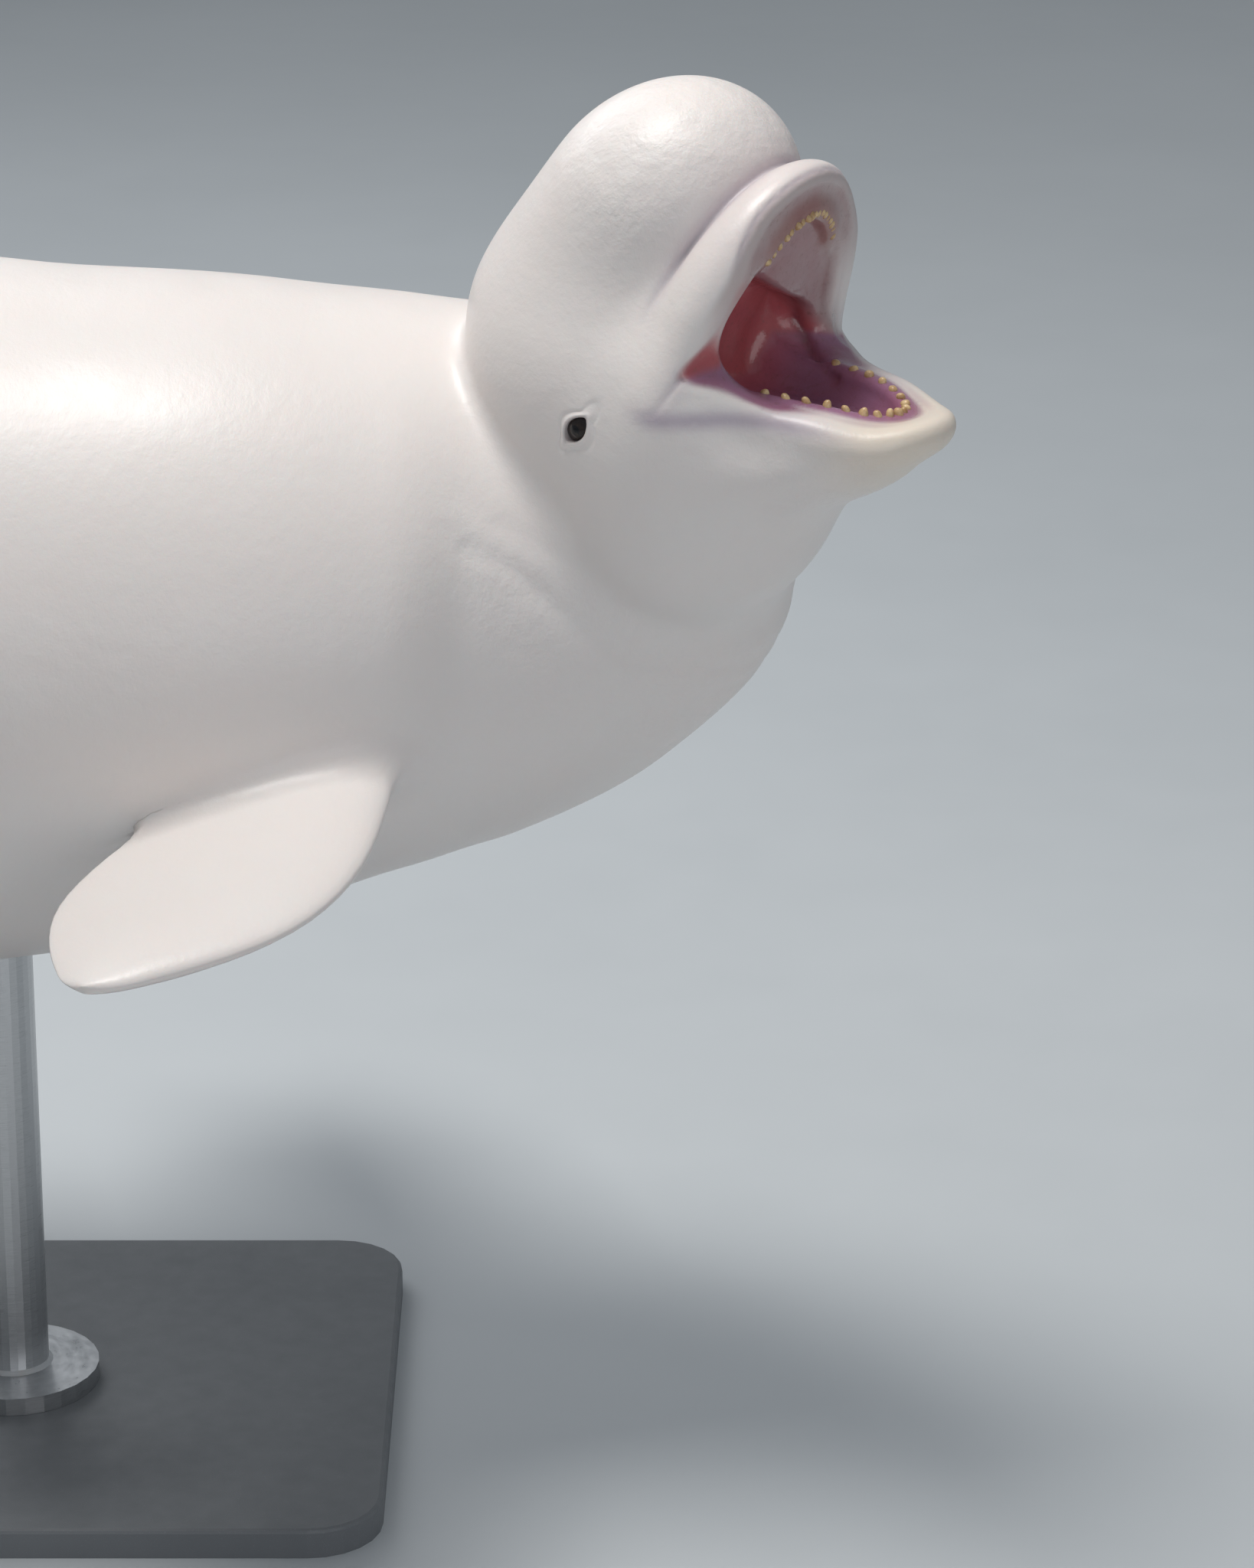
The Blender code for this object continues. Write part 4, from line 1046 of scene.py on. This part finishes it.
# Materials
class Shader:
    """Short way to write a node tree."""

    def __init__(self, name):
        self.material = bpy.data.materials.new(name)
        self.material.use_nodes = True
        self.tree = self.material.node_tree
        self.main = self.tree.nodes["Principled BSDF"]

    def node(self, kind, **settings):
        made = self.tree.nodes.new(kind)
        for key, value in settings.items():
            if key in made.inputs.keys():
                made.inputs[key].default_value = value
            else:
                setattr(made, key, value)
        return made

    def link(self, a, b):
        self.tree.links.new(a, b)

    def noise(self, scale, detail=4.0, rough=0.55, stretch=None):
        place = self.node("ShaderNodeTexCoord").outputs["Object"]
        if stretch:
            mapping = self.node("ShaderNodeMapping")
            mapping.inputs["Scale"].default_value = stretch
            self.link(place, mapping.inputs["Vector"])
            place = mapping.outputs["Vector"]
        made = self.node("ShaderNodeTexNoise", Scale=scale, Detail=detail, Roughness=rough)
        self.link(place, made.inputs["Vector"])
        return made.outputs["Fac"]

    def ramp(self, value, low, high, from_low=0.3, from_high=0.7):
        made = self.node("ShaderNodeMapRange")
        made.inputs["From Min"].default_value = from_low
        made.inputs["From Max"].default_value = from_high
        made.inputs["To Min"].default_value = low
        made.inputs["To Max"].default_value = high
        self.link(value, made.inputs["Value"])
        return made.outputs["Result"]

    def math(self, operation, a, b):
        made = self.node("ShaderNodeMath", operation=operation)
        for value, socket in ((a, made.inputs[0]), (b, made.inputs[1])):
            if isinstance(value, (int, float)):
                socket.default_value = value
            else:
                self.link(value, socket)
        return made.outputs[0]

    def blend(self, share, a, b, kind="MIX"):
        made = self.node("ShaderNodeMix", data_type="RGBA", blend_type=kind)
        for value, socket in ((share, made.inputs[0]), (a, made.inputs[6]), (b, made.inputs[7])):
            if isinstance(value, (int, float)):
                socket.default_value = value
            elif isinstance(value, tuple):
                socket.default_value = (*value, 1)
            else:
                self.link(value, socket)
        return made.outputs[2]

    def bump(self, height, distance, strength=1.0, below=None):
        made = self.node("ShaderNodeBump")
        made.inputs["Strength"].default_value = strength
        made.inputs["Distance"].default_value = distance
        self.link(height, made.inputs["Height"])
        if below:
            self.link(below, made.inputs["Normal"])
        return made.outputs["Normal"]


def skin_material():
    s = Shader("whale_skin")
    tint = s.node("ShaderNodeAttribute", attribute_name="tint")
    wet = s.node("ShaderNodeAttribute", attribute_name="wet")
    broad = s.ramp(s.noise(2.2, 3.0), 0.0, 1.0)
    blotch = s.ramp(s.noise(14.0, 5.0, 0.6), 0.0, 1.0)
    speck = s.ramp(s.noise(170.0, 3.0, 0.6), 0.0, 1.0, 0.55, 0.75)
    dry = s.math("SUBTRACT", 1.0, wet.outputs["Fac"])
    grey = s.math("MULTIPLY", s.math("MULTIPLY", broad, 0.16), dry)
    warm = s.math("MULTIPLY", s.math("MULTIPLY", blotch, 0.20), dry)
    colour = s.blend(grey, tint.outputs["Color"], (0.70, 0.66, 0.66))
    colour = s.blend(warm, colour, (0.82, 0.70, 0.66))
    inner = s.blend(s.math("MULTIPLY", blotch, 0.45), colour, (0.30, 0.075, 0.09))
    inner = s.blend(s.math("MULTIPLY", speck, 0.35), inner, (0.20, 0.10, 0.085))
    colour = s.blend(wet.outputs["Fac"], colour, inner)
    s.link(colour, s.main.inputs["Base Color"])
    rough = s.ramp(s.noise(9.0, 5.0, 0.6), 0.34, 0.50)
    rough = s.math("SUBTRACT", rough, s.math("MULTIPLY", wet.outputs["Fac"], 0.20))
    s.link(rough, s.main.inputs["Roughness"])
    wrinkle = s.noise(26.0, 6.0, 0.62, (1.0, 0.5, 1.0))
    grain = s.noise(240.0, 4.0, 0.6)
    fine = s.noise(85.0, 5.0, 0.6, (1.0, 0.6, 0.8))
    normal = s.bump(wrinkle, 0.0030, 0.35)
    normal = s.bump(fine, 0.0011, 0.35, normal)
    normal = s.bump(grain, 0.0004, 0.35, normal)
    crumple = s.node("ShaderNodeAttribute", attribute_name="crumple")
    creased = s.math("MULTIPLY", s.noise(48.0, 5.0, 0.6, (0.8, 1.0, 0.7)), crumple.outputs["Fac"])
    normal = s.bump(creased, 0.0060, 0.45, normal)
    s.link(normal, s.main.inputs["Normal"])
    s.main.inputs["Subsurface Weight"].default_value = 0.12
    s.main.inputs["Subsurface Radius"].default_value = (1.0, 0.45, 0.3)
    s.main.inputs["Subsurface Scale"].default_value = 0.012
    s.main.inputs["Coat Weight"].default_value = 0.10
    s.main.inputs["Coat Roughness"].default_value = 0.25
    return s.material


def tooth_material():
    s = Shader("tooth")
    stain = s.ramp(s.noise(120.0, 4.0), 0.0, 1.0, 0.35, 0.7)
    colour = s.blend(stain, (0.74, 0.55, 0.30), (0.40, 0.23, 0.10))
    s.link(colour, s.main.inputs["Base Color"])
    s.link(s.ramp(s.noise(300.0, 3.0), 0.22, 0.42), s.main.inputs["Roughness"])
    s.link(s.bump(s.noise(420.0, 4.0), 0.0003, 0.4), s.main.inputs["Normal"])
    s.main.inputs["Subsurface Weight"].default_value = 0.1
    s.main.inputs["Subsurface Scale"].default_value = 0.003
    return s.material


def eye_material():
    s = Shader("eye")
    place = s.node("ShaderNodeTexCoord").outputs["Object"]
    apart = s.node("ShaderNodeSeparateXYZ")
    s.link(place, apart.inputs[0])
    x2 = s.math("POWER", s.math("ABSOLUTE", apart.outputs["X"], 0.0), 2.0)
    y2 = s.math("POWER", s.math("ABSOLUTE", apart.outputs["Y"], 0.0), 2.0)
    far = s.math("SQRT", s.math("ADD", x2, y2), 0.0)
    iris = s.ramp(far, 0.0, 1.0, 0.0040, 0.0052)
    white = s.ramp(far, 0.0, 1.0, 0.0088, 0.0105)
    streaks = s.ramp(s.noise(600.0, 3.0, 0.6), 0.0, 1.0)
    brown = s.blend(streaks, (0.012, 0.008, 0.007), (0.026, 0.017, 0.013))
    colour = s.blend(iris, (0.003, 0.003, 0.004), brown)
    colour = s.blend(white, colour, (0.020, 0.014, 0.014))
    s.link(colour, s.main.inputs["Base Color"])
    s.link(s.ramp(s.noise(90.0, 2.0), 0.10, 0.16), s.main.inputs["Roughness"])
    s.main.inputs["Specular IOR Level"].default_value = 0.35
    s.main.inputs["Coat Weight"].default_value = 0.15
    s.main.inputs["Coat Roughness"].default_value = 0.05
    return s.material


def paint_material():
    s = Shader("stand_paint")
    tone = s.ramp(s.noise(3.0, 5.0), 0.0, 1.0)
    colour = s.blend(tone, (0.135, 0.145, 0.155), (0.165, 0.175, 0.185))
    speck = s.ramp(s.noise(700.0, 2.0), 0.0, 1.0, 0.62, 0.74)
    colour = s.blend(s.math("MULTIPLY", speck, 0.35), colour, (0.30, 0.31, 0.32))
    s.link(colour, s.main.inputs["Base Color"])
    s.link(s.ramp(s.noise(40.0, 4.0), 0.42, 0.58), s.main.inputs["Roughness"])
    s.link(s.bump(s.noise(900.0, 3.0), 0.0004, 0.5), s.main.inputs["Normal"])
    return s.material


def steel_material():
    s = Shader("stand_steel")
    lines = s.noise(60.0, 5.0, 0.6, (1.0, 1.0, 40.0))
    tone = s.ramp(lines, 0.0, 1.0)
    s.link(s.blend(tone, (0.50, 0.51, 0.52), (0.62, 0.63, 0.64)), s.main.inputs["Base Color"])
    s.link(s.ramp(lines, 0.26, 0.40), s.main.inputs["Roughness"])
    s.link(s.bump(lines, 0.0003, 0.4), s.main.inputs["Normal"])
    s.main.inputs["Metallic"].default_value = 1.0
    return s.material


def floor_material():
    s = Shader("floor")
    tone = s.ramp(s.noise(1.3, 4.0), 0.0, 1.0)
    s.link(s.blend(tone, (0.55, 0.58, 0.60), (0.58, 0.61, 0.63)), s.main.inputs["Base Color"])
    s.link(s.ramp(s.noise(9.0, 4.0), 0.55, 0.70), s.main.inputs["Roughness"])
    return s.material


def dress(thing, material):
    thing.data.materials.clear()
    thing.data.materials.append(material)


dress(skin, skin_material())
tooth_look = tooth_material()
dress(upper_teeth, tooth_look)
dress(lower_teeth, tooth_look)
eye_look = eye_material()
for ball in eyes.values():
    dress(ball, eye_look)
dress(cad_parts["stand_base"], paint_material())
steel_look = steel_material()
for name in ("stand_rod_front", "stand_rod_rear"):
    dress(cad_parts[name], steel_look)
    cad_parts[name].data.shade_smooth()
    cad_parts[name].data.set_sharp_from_angle(angle=radians(35))

# Pieces on the frame
for piece in (skin, upper_teeth, lower_teeth, eyes[-1], eyes[1]):
    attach(piece, "root")
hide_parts("head", "lower_jaw", "neck", "torso", "tail_stock", "fluke_L", "fluke_R",
            "flipper_L", "flipper_R", "tongue")
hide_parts("upper_gum")
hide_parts("lower_gum")
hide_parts("eye_R")
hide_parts("eye_L")

# Floor, light, camera
corners = [(-FLOOR, -FLOOR, 0), (FLOOR, -FLOOR, 0), (FLOOR, FLOOR, 0), (-FLOOR, FLOOR, 0)]
floor = object_from("floor", corners, [(0, 1, 2, 3)], smooth=False)
dress(floor, floor_material())


def area_light(name, place, target, size, power, colour):
    """Square lamp at place that looks at target."""
    lamp = bpy.data.lights.new(name, "AREA")
    lamp.energy = power
    lamp.size = size
    lamp.color = colour
    made = bpy.data.objects.new(name, lamp)
    bpy.context.scene.collection.objects.link(made)
    made.location = place
    made.rotation_mode = "QUATERNION"
    made.rotation_quaternion = (Vector(place) - Vector(target)).to_track_quat("Z", "Y")


area_light("key", (0.2, -0.2, 5.2), (0.9, 0, 1.1), 1.6, 150, (1.0, 0.98, 0.95))
area_light("fill", (2.8, -5.5, 1.6), (1.0, 0, 1.1), 3.0, 48, (0.97, 0.97, 1.0))
area_light("back", (-1.5, 3.5, 3.6), (0.5, 0, 1.0), 3.0, 60, (0.95, 0.97, 1.0))
world = bpy.data.worlds.new("studio")
world.use_nodes = True
world.node_tree.nodes["Background"].inputs[0].default_value = (0.80, 0.86, 0.92, 1)
world.node_tree.nodes["Background"].inputs[1].default_value = 0.32
bpy.context.scene.world = world
bpy.context.scene.view_settings.view_transform = "Standard"

camera = bpy.data.cameras.new("camera")
camera.sensor_width = 36
camera.lens = CAMERA_LENS
holder = bpy.data.objects.new("camera", camera)
bpy.context.scene.collection.objects.link(holder)
holder.location = CAMERA_AT
back = Vector((0, -cos(CAMERA_DOWN), sin(CAMERA_DOWN)))
holder.rotation_mode = "QUATERNION"
holder.rotation_quaternion = (-back).to_track_quat("-Z", "Y")
bpy.context.scene.camera = holder
